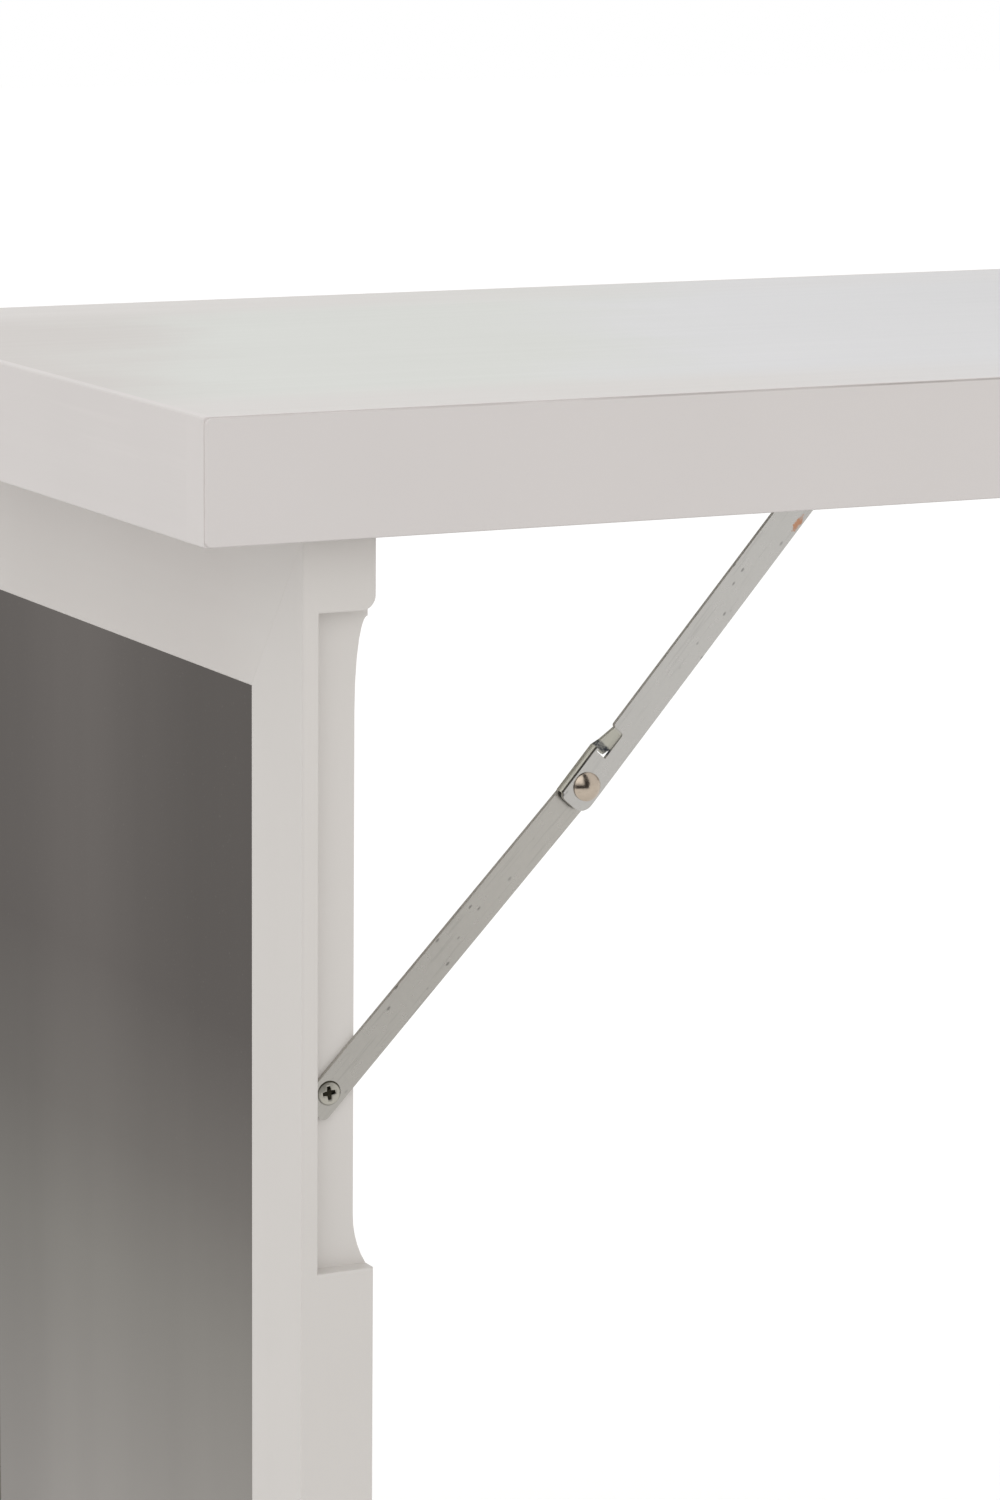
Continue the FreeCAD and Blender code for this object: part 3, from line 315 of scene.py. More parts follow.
def make_paint(name, colour, stretch, ridge, strokes=FAINT_STROKES, middle=None):
    """A painted board.  With a middle colour, a painted shade, the paint is that in the middle of the
    table's width.
    """
    material, tree, shader, marks = start_paint(name, stretch, ridge)
    shade = plus(tree, drift_shade(tree, marks), times(tree, marks.outputs["Strokes"], strokes))
    base = linear(*colour)
    if middle:
        # Painted shade: the middle of the table's width takes the darker middle colour.
        aside = mask(tree, from_middle(tree), *MIDDLE_FADE, smooth=True)
        base = mixed(tree, aside, linear(*middle), base)
    join(tree, tinted(tree, base, shade), shader.inputs["Base Color"])
    print("paint", name, "ridge strength", ridge)
    return material


# %% Material: the paint of the stiles
STILE_OUTSIDE = (184.4 * MM, 184.8 * MM)
BEHIND_STILE_FRONT = (-790.4 * MM, -789.8 * MM)
PAINTED_LIGHT_UPWARDS, PAINTED_LIGHT_BY = (-0.42, -0.12), 0.045


def make_stile_paint(name, colour, stretch, ridge):
    """The paint of the leg's stiles, whose outer sides have painted light, a little lighter towards the
    top.
    """
    material, tree, shader, marks = start_paint(name, stretch, ridge)
    x, _, z = axes(tree, object_place(tree))
    outer = mask(tree, from_middle(tree), *STILE_OUTSIDE)
    behind_front = mask(tree, x, *BEHIND_STILE_FRONT)
    # Painted light on the stiles' outer sides, growing towards the top.
    painted_light_upwards = spread(tree, z, *PAINTED_LIGHT_UPWARDS, 0, PAINTED_LIGHT_BY, smooth=True)
    shade = plus(tree, drift_shade(tree, marks), times(tree, outer, behind_front, painted_light_upwards))
    join(tree, tinted(tree, linear(*colour), shade), shader.inputs["Base Color"])
    print("paint", name, "ridge strength", ridge)
    return material


# %% [markdown]
# A stretch has small numbers along the brush's way and large ones across it.  The boards that lie
# across the table took more paint than the rest, so their ridges are stronger and broad strokes show.

# %% The paints, by the way that the brush went
BRUSHED_ALONG_X = (6, 160, 160)
BRUSHED_ALONG_Y = (160, 7, 200)
BRUSHED_ALONG_Z = (160, 160, 6)
BOARD_WHITE = (215, 210, 208)
END_WHITE = (214, 209, 207)
LEG_WHITE = (213, 209, 205)
RAIL_PAINTED_SHADE_MIDDLE = (208, 203, 199)
lengthways_paint = make_paint("paint_along_table", BOARD_WHITE, BRUSHED_ALONG_X, ridge=0.10)
crossways_paint = make_paint("paint_across_table", END_WHITE, BRUSHED_ALONG_Y, ridge=0.45, strokes=0.035)
upright_paint = make_paint("paint_upright", LEG_WHITE, BRUSHED_ALONG_Z, ridge=0.12)
stile_paint = make_stile_paint("paint_stile", LEG_WHITE, BRUSHED_ALONG_Z, ridge=0.12)
leg_rail_paint = make_paint("paint_across_leg", LEG_WHITE, BRUSHED_ALONG_Y, ridge=0.12, middle=RAIL_PAINTED_SHADE_MIDDLE)

# %% [markdown]
# ## The painted top
# The top carries painted light and shade: it is painted darker and warmer towards its free end and
# lighter and cooler near the wall, and a warm painted shade lies in a band along its rim.  Three plain
# colours are blended along the table.  The borders between them run at a slant and wander with the drift
# of the paint, because a straight border would look like a seam.

# %% Material: painted top
TOP_STRETCH, TOP_RIDGE, TOP_ROUGHNESS = (5, 120, 120), 0.08, 0.38
TOP_SHADES = (0.99, 1.01)
FREE_END_PAINTED_SHADE, FREE_END_FADE = (200, 195, 191), (-0.83, -0.72)
MIDDLE_WHITE = (208, 210, 205)
WALL_END_PAINTED_LIGHT, WALL_END_FADE = (212, 212, 214), (-0.62, -0.48)
BORDER_SLANT, BORDER_WANDER = 0.5, 0.03
RIM_PAINTED_SHADE, RIM_FADE, RIM_STRENGTH = (210, 206, 203), (0.13, 0.185), 0.9
RIM_WEAKENS, RIM_NEAR_WALL = (-0.60, -0.42), 0.25


def make_top_paint():
    material, tree, shader, marks = start_paint("paint_top", TOP_STRETCH, TOP_RIDGE, TOP_ROUGHNESS)
    x, y, _ = axes(tree, object_place(tree))
    wander = spread(tree, marks.outputs["Drift"], 0, 1, -BORDER_WANDER, BORDER_WANDER)
    along = plus(tree, minus(tree, x, times(tree, y, BORDER_SLANT)), wander)
    # Painted shade darkens the free end, painted light brightens the wall end, and a painted shade warms
    # the rim.
    past_free_end = mask(tree, along, *FREE_END_FADE, smooth=True)
    free_part = mixed(tree, past_free_end, linear(*FREE_END_PAINTED_SHADE), linear(*MIDDLE_WHITE))
    near_wall = mask(tree, along, *WALL_END_FADE, smooth=True)
    whole = mixed(tree, near_wall, free_part, linear(*WALL_END_PAINTED_LIGHT))
    rim = spread(tree, from_middle(tree), *RIM_FADE, 0, RIM_STRENGTH, smooth=True)
    painted_rim_shade = times(tree, rim, spread(tree, x, *RIM_WEAKENS, 1, RIM_NEAR_WALL))
    warm = mixed(tree, painted_rim_shade, whole, linear(*RIM_PAINTED_SHADE))
    shade = drift_shade(tree, marks, TOP_SHADES)
    join(tree, tinted(tree, warm, shade), shader.inputs["Base Color"])
    print("paint of the top, in 3 colours and a rim")
    return material


top_paint = make_top_paint()

# %% [markdown]
# ## The lipping along the sides
# A thin strip covers the edge of each side board.  It stops a hair below the top, and the tiny step
# has a painted shadow, so its upper edge shows as a fine broken dark line.

# %% Material: painted lipping
STEP_PAINTED_SHADOW = (160, 154, 150)
STEP_HEIGHT = (-0.9 * MM, -0.4 * MM)
BREAK_STRETCH, BREAK_RANGE, BREAK_STRENGTHS = (18, 1, 1), (0.35, 0.6), (0.3, 0.9)
FAINTER_SHADOW_AT_END, END_STRENGTH = (-0.82, -0.55), 0.3


def make_lipping_paint():
    material, tree, shader, marks = start_paint("paint_lipping", BRUSHED_ALONG_X, ridge=0.10)
    place = object_place(tree)
    x, _, z = axes(tree, place)
    near_top = mask(tree, z, *STEP_HEIGHT)
    patches = noise(tree, stretched(tree, place, BREAK_STRETCH))
    broken = spread(tree, patches, *BREAK_RANGE, *BREAK_STRENGTHS)
    fades = spread(tree, x, *FAINTER_SHADOW_AT_END, END_STRENGTH, 1)
    # Painted shadow in the step below the top, broken, and fainter towards the free end.
    painted_shadow = times(tree, near_top, broken, fades)
    unshaded = tinted(tree, linear(*BOARD_WHITE), drift_shade(tree, marks))
    join(tree, mixed(tree, painted_shadow, unshaded, linear(*STEP_PAINTED_SHADOW)), shader.inputs["Base Color"])
    print("paint of the lipping, with a line of dirt")
    return material


lipping_paint = make_lipping_paint()

# %% [markdown]
# ## Silvered glass
# The mirror is one sheet of flat glass, silvered on its back.  It is modelled as a smooth metal whose
# colour is a painted reflection of a darker room than the white one around it: an even grey gradient with
# soft upright streaks, as a mirror shows a dim hall, and painted shade to its left and across its top.
# The gradient is fixed to the glass, and so is a little dust.
#
# A metal grows much lighter where it is seen at a flat angle.  Specular Tint is the metal's colour at
# such angles, and with a mid grey there the glass keeps nearly the same grey from every side.

# %% Material: mirror
MIRROR_REFLECTION_STEPS = [
    (0.0, (0.425, 0.405, 0.382)),
    (0.28, (0.373, 0.354, 0.335)),
    (0.51, (0.261, 0.249, 0.230)),
    (0.62, (0.188, 0.176, 0.163)),
    (0.75, (0.142, 0.130, 0.122)),
    (1.0, (0.145, 0.133, 0.125)),
]
MIRROR_LOW, MIRROR_HIGH = -0.69, -0.12
MIRROR_EDGE_TINT = 0.53
MIRROR_ROUGHNESS = (0.05, 0.09)
STREAK_STRETCH, STREAK_SHADES = (1, 22, 1.4), (0.965, 1.035)
LEFT_FADE, LEFT_PAINTED_SHADE = (0.06, 0.12), 0.88
ACROSS_TOP, ACROSS_TOP_PAINTED_SHADES, TOP_PART = (-0.10, 0.05), (0.82, 1.08), (-0.37, -0.22)
DUST, DUST_SCALE, DUST_RANGE, DUST_STRENGTH = (150, 146, 140), 900, (0.72, 0.80), 0.25
UNCHANGED = (1.0, 1.0, 1.0, 1.0)


def gradient(tree, source, steps):
    """A colour that follows a value from step to step."""
    ramp = add(tree, "ShaderNodeValToRGB")
    stops = ramp.color_ramp.elements
    stops.remove(stops[-1])
    for index, (position, colour) in enumerate(steps):
        stop = stops[0] if index == 0 else stops.new(position)
        stop.position = position
        stop.color = (*colour, 1)
    join(tree, source, ramp.inputs["Fac"])
    return ramp.outputs[0]


def make_mirror():
    material, tree, shader = start_finish("mirror_glass", metallic=1.0)
    shader.inputs["Specular Tint"].default_value = (MIRROR_EDGE_TINT,) * 3 + (1,)
    place = object_place(tree)
    _, y, z = axes(tree, place)
    # The painted reflection: a grey gradient up the glass with streaks, and painted shade at the side and
    # top.
    grey = gradient(tree, mask(tree, z, MIRROR_LOW, MIRROR_HIGH), MIRROR_REFLECTION_STEPS)
    streaks = noise(tree, stretched(tree, place, STREAK_STRETCH))
    swing = spread(tree, streaks, *NOISE_RANGE, *STREAK_SHADES)
    left = spread(tree, y, *LEFT_FADE, 1.0, LEFT_PAINTED_SHADE, smooth=True)
    across_top = mixed(tree, mask(tree, z, *TOP_PART, smooth=True), UNCHANGED,
                       spread(tree, y, *ACROSS_TOP, *ACROSS_TOP_PAINTED_SHADES, smooth=True))
    silver = tinted(tree, grey, tinted(tree, across_top, times(tree, swing, left)))
    specks = spread(tree, noise(tree, place, DUST_SCALE, detail=1.0), *DUST_RANGE, 0, DUST_STRENGTH)
    join(tree, mixed(tree, specks, silver, linear(*DUST)), shader.inputs["Base Color"])
    join(tree, spread(tree, streaks, *NOISE_RANGE, *MIRROR_ROUGHNESS), shader.inputs["Roughness"])
    print("mirror gradient in", len(MIRROR_REFLECTION_STEPS), "steps")
    return material


mirror_glass = make_mirror()

# %% [markdown]
# ## Wear on plated steel
# The stays and hinges are steel with zinc plating: pale, a little cloudy, with long fine scratches from
# the rolling mill and a scatter of tiny dark pits.  The group puts out one mask for each, so that every
# metal takes as much of them as it needs.

# %% Shader group: wear on plated metal
CLOUD_DETAIL = 6.0
SCRATCH_STRETCH, SCRATCH_RANGE = (45, 1200, 1200), (0.60, 0.72)
PIT_STRETCH, PIT_EDGE = (110, 150, 230), (0.07, 0.15)
PIT_PATCH_SCALE, PIT_PATCH_RANGE = 45, (0.47, 0.56)


def make_wear_group():
    group = bpy.data.node_groups.new("metal_wear", "ShaderNodeTree")
    sockets = group.interface
    sockets.new_socket("Place", in_out="INPUT", socket_type="NodeSocketVector")
    sockets.new_socket("Grain", in_out="INPUT", socket_type="NodeSocketFloat")
    for name in ("Cloud", "Scratches", "Pits"):
        sockets.new_socket(name, in_out="OUTPUT", socket_type="NodeSocketFloat")
    enter = add(group, "NodeGroupInput")
    leave = add(group, "NodeGroupOutput")
    place = enter.outputs["Place"]
    cloud = add(group, "ShaderNodeTexNoise")
    cloud.inputs["Detail"].default_value = CLOUD_DETAIL
    join(group, enter.outputs["Grain"], cloud.inputs["Scale"])
    join(group, place, cloud.inputs["Vector"])
    join(group, cloud.outputs["Fac"], leave.inputs["Cloud"])
    lines = noise(group, stretched(group, place, SCRATCH_STRETCH), detail=1.0)
    join(group, mask(group, lines, *SCRATCH_RANGE), leave.inputs["Scratches"])
    cells = add(group, "ShaderNodeTexVoronoi")
    cells.inputs["Scale"].default_value = 1.0
    join(group, stretched(group, place, PIT_STRETCH), cells.inputs["Vector"])
    pits = spread(group, cells.outputs["Distance"], *PIT_EDGE, 1, 0)
    patches = mask(group, noise(group, place, PIT_PATCH_SCALE), *PIT_PATCH_RANGE)
    join(group, times(group, pits, patches), leave.inputs["Pits"])
    print("group", group.name, "with", len(group.nodes), "nodes")
    return group


wear_group = make_wear_group()

# %% [markdown]
# ## Plated steel
# The same recipe makes every steel here.  `start_steel` returns the shade that the wear leaves on a flat
# face, and each kind of piece then adds what is its own.  `make_steel` is the whole of it for pieces
# with nothing more to add.  The hinges are the duller steel; bushes, spacers and rivet feet are paler.

# %% Material: plated steel
CLOUD_SHADES = (0.95, 1.04)
SCRATCH_SHADE, PIT_SHADE = 0.91, 0.55
BRIGHTER, DULLER = 0.04, 0.06
DENT_STRENGTH, DENT_DEPTH = 0.2, 0.15 * MM


def start_steel(name, roughness, grain, place=object_place, dents=DENT_STRENGTH):
    """A worn metal without its colour.  place gives the point from which its patterns start."""
    material, tree, shader = start_finish(name, metallic=1.0)
    wear = add(tree, "ShaderNodeGroup", node_tree=wear_group)
    wear.inputs["Grain"].default_value = grain
    join(tree, place(tree), wear.inputs["Place"])
    cloud = spread(tree, wear.outputs["Cloud"], *NOISE_RANGE, *CLOUD_SHADES)
    scratch = spread(tree, wear.outputs["Scratches"], 0, 1, 1.0, SCRATCH_SHADE)
    pit = spread(tree, wear.outputs["Pits"], 0, 1, 1.0, PIT_SHADE)
    shade = times(tree, cloud, scratch, pit)
    rough = spread(tree, wear.outputs["Cloud"], *NOISE_RANGE, roughness - BRIGHTER, roughness + DULLER)
    roughen(tree, shader, shade, dents, DENT_DEPTH)
    return material, tree, shader, shade, rough


def make_steel(name, colour, roughness, grain, dents=DENT_STRENGTH):
    material, tree, shader, shade, rough = start_steel(name, roughness, grain, dents=dents)
    join(tree, rough, shader.inputs["Roughness"])
    join(tree, tinted(tree, linear(*colour), shade), shader.inputs["Base Color"])
    print("metal", name)
    return material


hinge_steel = make_steel("hinge_steel", (160, 158, 154), roughness=0.30, grain=160, dents=0.06)
fitting_steel = make_steel("fitting_steel", (184, 180, 174), roughness=0.28, grain=220)

# %% [markdown]
# ## The two arms of a stay
# Each arm is punched from strip.  The face keeps its bright plating.  The cut edges are dull and pale:
# they scatter half of the light instead of mirroring it, which Metallic at a half gives.  How far a
# point lies behind the arm's outer face tells face from edge, and that face lies at one distance from
# the table's middle plane.  The arm's own pivots give the place and the slope of its patterns.

# %% Helpers for the arms
JOINT = Vector((-663.15, 0, -160.34)) * MM
HEAD = Vector((-555.2, 0, -38.0)) * MM
FOOT = Vector((-776.1, 0, -276.0)) * MM
LOWER_ARM_FACE, UPPER_ARM_FACE = 187.2 * MM, 190.6 * MM
ARM_ROUGHNESS, ARM_GRAIN = 0.29, 220
EDGE_STARTS = (0.04 * MM, 0.20 * MM)
EDGE_GREY, EDGE_METALLIC, EDGE_ROUGHER = (184, 181, 174), 0.5, 0.22


def rise(start, end):
    """The angle at which a bar from start to end rises from level."""
    return math.atan2(end.z - start.z, end.x - start.x)


def start_arm(name, start, end):
    """A steel arm: its finish, and where its patterns start and lie."""
    turn = rise(start, end)
    print(name, "rises at", round(math.degrees(turn), 1), "degrees")
    return start_steel(name, ARM_ROUGHNESS, ARM_GRAIN, lambda tree: local_place(tree, start, turn))


def behind(tree, face):
    """How far a point lies behind the outer face of an arm."""
    return minus(tree, face, from_middle(tree))


# %% [markdown]
# The lower arm is a plain strip.  Its grey is a painted shade darker than the upper arm's, and painted
# light makes it a little brighter towards the joint.

# %% Material: the lower arm
# The lower arm's grey is a painted shade.
LOWER_ARM_SHADED_GREY = (178, 175, 169)
PAINTED_LIGHT_ALONG, JOINT_PAINTED_LIGHT = (60 * MM, 135 * MM), 1.08


def make_lower_steel():
    material, tree, shader, shade, rough = start_arm("stay_steel_lower", FOOT, JOINT)
    cut = mask(tree, behind(tree, LOWER_ARM_FACE), *EDGE_STARTS)
    join(tree, plus(tree, rough, times(tree, cut, EDGE_ROUGHER)), shader.inputs["Roughness"])
    join(tree, spread(tree, cut, 0, 1, 1.0, EDGE_METALLIC), shader.inputs["Metallic"])
    along, _, _ = axes(tree, local_place(tree, FOOT, rise(FOOT, JOINT)))
    # Painted light along the arm, brightest towards the joint.
    painted_light_near_joint = spread(tree, along, *PAINTED_LIGHT_ALONG, 1.0, JOINT_PAINTED_LIGHT, smooth=True)
    colour = mixed(tree, cut, linear(*LOWER_ARM_SHADED_GREY), linear(*EDGE_GREY))
    join(tree, tinted(tree, colour, times(tree, shade, painted_light_near_joint)), shader.inputs["Base Color"])
    return material


lower_steel = make_lower_steel()

# %% [markdown]
# The upper arm has marks of its own.  Its stop flange and the strip beside it were bent from the same
# metal, so they keep its plating; the bend has a fine painted shade line, then a painted highlight.  The
# strip has a painted shade in its crease.  Near the arm's upper end the plating has worn through on one
# side, to a small rust spot.

# %% Helpers for the upper arm
RUST_ALONG, RUST_HALF_LENGTH = 139.8 * MM, 4.2 * MM
RUST_BELOW, RUST_HALF_WIDTH = 4.8 * MM, 1.5 * MM
RUST_SCALE, RUST_RAGGED = 700, 0.6
RUST_EDGE, RUST_STRENGTH = (0.3, 1.1), 0.85


def between(tree, value, low, high, soft):
    """1 where a value lies between low and high, fading over soft at both ends."""
    return times(tree, mask(tree, value, low - soft / 2, low + soft / 2),
                 spread(tree, value, high - soft / 2, high + soft / 2, 1, 0))


def squared(tree, along, across):
    """The squared length of a step along and across."""
    return plus(tree, times(tree, along, along), times(tree, across, across))


def rust_spot(tree, place):
    """A ragged oval on the right arm alone."""
    along, side, across = axes(tree, place)
    off_along = math_step(tree, "DIVIDE", minus(tree, along, RUST_ALONG), RUST_HALF_LENGTH)
    off_across = math_step(tree, "DIVIDE", plus(tree, across, RUST_BELOW), RUST_HALF_WIDTH)
    wobble = spread(tree, noise(tree, place, RUST_SCALE), *NOISE_RANGE, -RUST_RAGGED, RUST_RAGGED)
    away = plus(tree, squared(tree, off_along, off_across), wobble)
    on_right = spread(tree, side, -1 * MM, 1 * MM, 1, 0)
    return times(tree, spread(tree, away, *RUST_EDGE, RUST_STRENGTH, 0), on_right)


# %% Material: the upper arm, with its bends, its crease and its rust
UPPER_ARM_GREY = (193, 191, 187)
BENT_ALONG, BENT_SOFT, BENT_ACROSS = (-9 * MM, 25.5 * MM), 0.4 * MM, (1.1 * MM, 1.3 * MM)
BEND_ROUGHER, BEND_PAINTED_HIGHLIGHT = 0.30, (203, 201, 190)
BEND_PAINTED_SHADE, LINE_DEPTH, LINE_SOFT = (96, 92, 84), (0.05 * MM, 0.30 * MM), 0.06 * MM
CREASE_PAINTED_SHADE, CREASE_DEPTH = (62, 66, 74), (0.25 * MM, 0.6 * MM)
CREASE_ALONG, CREASE_SOFT = (15.0 * MM, 17.9 * MM), 0.9 * MM
MOTTLE_SCALE, MOTTLE_RANGE, MOTTLE_LEAST = 1500, (0.4, 0.6), 0.55
RUST = (186, 132, 98)


def make_upper_steel():
    material, tree, shader, shade, rough = start_arm("stay_steel_upper", JOINT, HEAD)
    place = local_place(tree, JOINT, rise(JOINT, HEAD))
    along, _, across = axes(tree, place)
    depth = behind(tree, UPPER_ARM_FACE)
    below = mask(tree, depth, *EDGE_STARTS)
    bent = times(tree, between(tree, along, *BENT_ALONG, BENT_SOFT), mask(tree, across, *BENT_ACROSS))
    straight = minus(tree, 1.0, bent)
    cut = times(tree, below, straight)
    rougher = plus(tree, times(tree, straight, EDGE_ROUGHER), times(tree, bent, BEND_ROUGHER))
    join(tree, plus(tree, rough, times(tree, below, rougher)), shader.inputs["Roughness"])
    join(tree, spread(tree, cut, 0, 1, 1.0, EDGE_METALLIC), shader.inputs["Metallic"])
    edged = mixed(tree, cut, linear(*UPPER_ARM_GREY), linear(*EDGE_GREY))
    # Painted highlight and a painted shade line along the bend.
    highlighted = mixed(tree, times(tree, bent, below), edged, linear(*BEND_PAINTED_HIGHLIGHT))
    line = times(tree, bent, between(tree, depth, *LINE_DEPTH, LINE_SOFT))
    lined = mixed(tree, line, highlighted, linear(*BEND_PAINTED_SHADE))
    mottle = spread(tree, noise(tree, place, MOTTLE_SCALE), *MOTTLE_RANGE, MOTTLE_LEAST, 1)
    deep = mask(tree, depth, *CREASE_DEPTH)
    # Painted shade in the strip's crease.
    crease_shade = times(tree, between(tree, along, *CREASE_ALONG, CREASE_SOFT), deep, mottle)
    creased = tinted(tree, mixed(tree, crease_shade, lined, linear(*CREASE_PAINTED_SHADE)), shade)
    join(tree, mixed(tree, rust_spot(tree, place), creased, linear(*RUST)), shader.inputs["Base Color"])
    return material


upper_steel = make_upper_steel()

# %% [markdown]
# ## Nickel heads
# The rivet at the joint and the screw at the stay's upper end are nickel plated: smoother and warmer
# than the zinc beside them.  The foot screw's recess and the crack round its head carry a painted shade,
# which paints them dark.  The crack is what lies outside a circle round the screw's axis, set a little
# low, and the recess is what lies near the axis and below the head's face.

# %% Materials: rivet and foot screw
SCREW_PAINTED_SHADE = (62, 59, 49)
FOOT_SCREW_GREY = (178, 175, 165)
CRACK_RADIUS, CRACK_DROP = (4.5 * MM, 4.9 * MM), 0.35 * MM
CRACK_HEIGHT, CRACK_LEAST = (-2.0 * MM, 3.0 * MM), 0.35
RECESS_RADIUS = (3.6 * MM, 4.0 * MM)
HEAD_FACE = (187.15 * MM, 187.45 * MM)


def radius_of(tree, along, across):
    return math_step(tree, "SQRT", squared(tree, along, across))


def make_foot_metal():
    material, tree, shader, shade, rough = start_steel("foot_screw_metal", roughness=0.42, grain=300,
                                                       dents=0.05)
    join(tree, rough, shader.inputs["Roughness"])
    along, _, across = axes(tree, local_place(tree, FOOT, 0.0))
    crack = mask(tree, radius_of(tree, along, plus(tree, across, CRACK_DROP)), *CRACK_RADIUS)
    patchy = spread(tree, across, *CRACK_HEIGHT, CRACK_LEAST, 1)
    near_axis = spread(tree, radius_of(tree, along, across), *RECESS_RADIUS, 1, 0)
    below_face = spread(tree, from_middle(tree), *HEAD_FACE, 1, 0)
    # Painted shade in the crack round the head and in the recess.
    painted_shadow = math_step(tree, "MAXIMUM", times(tree, crack, patchy), times(tree, near_axis, below_face))
    unshaded = tinted(tree, linear(*FOOT_SCREW_GREY), shade)
    join(tree, mixed(tree, painted_shadow, unshaded, linear(*SCREW_PAINTED_SHADE)), shader.inputs["Base Color"])
    print("metal foot_screw_metal")
    return material


nickel = make_steel("nickel_heads", (183, 170, 155), roughness=0.20, grain=300, dents=0.02)
foot_metal = make_foot_metal()

# %% [markdown]
# ## Rubber, hardboard and magnets
# These show only when the table is folded or seen from behind.  One cloudy noise is enough for all
# three: it moves their shade, their sheen and their height together.

# %% Material: plain finishes with a little life in them
PLAIN_DETAIL = 8.0
PLAIN_RANGE, PLAIN_SHADES = (0.2, 0.8), (0.82, 1.12)
PLAIN_SWING = 0.08
PLAIN_BUMP, PLAIN_HEIGHT = 0.2, 0.3 * MM


def make_plain(name, colour, roughness, metallic, scale):
    material, tree, shader = start_finish(name, metallic)
    cloud = noise(tree, object_place(tree), scale, PLAIN_DETAIL)
    shade = spread(tree, cloud, *PLAIN_RANGE, *PLAIN_SHADES)
    join(tree, tinted(tree, linear(*colour), shade), shader.inputs["Base Color"])
    rough = spread(tree, cloud, 0, 1, roughness - PLAIN_SWING, roughness + PLAIN_SWING)
    join(tree, rough, shader.inputs["Roughness"])
    roughen(tree, shader, cloud, PLAIN_BUMP, PLAIN_HEIGHT)
    print("plain finish", name)
    return material


rubber = make_plain("grey_rubber", (62, 62, 64), roughness=0.7, metallic=0.0, scale=400)
hardboard = make_plain("hardboard", (122, 92, 62), roughness=0.75, metallic=0.0, scale=260)
magnet_metal = make_plain("magnet_metal", (178, 178, 180), roughness=0.25, metallic=1.0, scale=200)

# %% [markdown]
# ## Dress the frame
# Each solid keeps its shape and gets its finish.  The list says which boards run which way, because
# the brush follows the length of a board.  What the list leaves out is a hinge plate, a hinge pin or a
# plain screw, and all of those are the hinges' steel.

# %% Give every solid its finish
def both(*stems):
    """The names of the right and the left piece of each kind."""
    return [stem + "_" + hand for stem in stems for hand in ("right", "left")]


FINISHES = [
    (top_paint, ["top_panel"]),
    (lengthways_paint, both("side_board")),
    (lipping_paint, both("edge_strip")),
    (crossways_paint, ["end_board", "wall_end_board", "hinge_batten", "hinge_rail", "catch_rail"]),
    (leg_rail_paint, ["leg_top_rail", "leg_bottom_rail", "mirror_bead_top", "mirror_bead_bottom"]),
    (stile_paint, both("stile")),
    (upright_paint, ["wall_board", *both("mirror_bead")]),
    (mirror_glass, ["mirror"]),
    (hardboard, ["backing_board"]),
    (lower_steel, both("lower_arm")),
    (upper_steel, both("upper_arm")),
    (fitting_steel, both("stay_rivet_foot", "stay_bush", "stay_spacer")),
    (nickel, both("stay_rivet", "stay_top_screw")),
    (foot_metal, both("stay_foot_screw")),
    (rubber, ["leaf_buffers", "leg_glides"]),
    (magnet_metal, ["catch_magnets", "leaf_magnets"]),
]
finish_of = {name: hinge_steel for name in nodes}
for material, names in FINISHES:
    for name in names:
        finish_of[name] = material
for name, piece in nodes.items():
    for slot in piece.material_slots:
        slot.material = finish_of[name]
print("finished", len(finish_of), "solids with", len(set(finish_of.values())), "finishes")

# %% [markdown]
# ## Driver recesses
# The frame gives the hinge and rail screws plain flat heads.  A real one has a cross recess: four arms
# that narrow towards their ends and towards the bottom.  It is modelled as the plug that would fill it:
# a small cube whose four sides are pulled out, and whose ends and foot are drawn in.  Cutting the plug
# out of a head gives clean walls and a floor, which a bump in the material could only hint at.

# %% Helpers for edit mode
def alone(piece):
    """Make piece the only selected and the active object."""
    bpy.ops.object.select_all(action="DESELECT")
    piece.select_set(True)
    bpy.context.view_layer.objects.active = piece


def pick(piece, kind, wanted):
    """In edit mode, select just the faces or vertices that pass a test."""
    bpy.ops.object.mode_set(mode="EDIT")
    bpy.ops.mesh.select_mode(type="FACE" if kind == "faces" else "VERT")
    bpy.ops.mesh.select_all(action="DESELECT")
    bpy.ops.object.mode_set(mode="OBJECT")
    found = piece.data.polygons if kind == "faces" else piece.data.vertices
    for part in found:
        part.select = wanted(part)
    bpy.ops.object.mode_set(mode="EDIT")


def settle(piece):
    """Put a finished object at the origin, with its place in its mesh."""
    alone(piece)
    bpy.ops.object.transform_apply(location=True, rotation=True, scale=True)


def turned_to(outward, twist):
    """The turn that points +Z outward, after a twist about it."""
    return outward.to_track_quat("Z", "Y").to_matrix().to_4x4() @ Matrix.Rotation(twist, 4, "Z")


# %% [markdown]
# The plug starts with its mouth a little above the head's face, because a cut that ends exactly on a
# face is unsure.  A corner is known by its place, give or take a hair.

# %% A plug in the shape of the recess
HAIR = 0.01 * MM
RECESS_FOOT_SHARE = 0.45


def is_upright(face):
    """Whether a face stands more than it lies."""
    return abs(face.normal.z) < 0.5


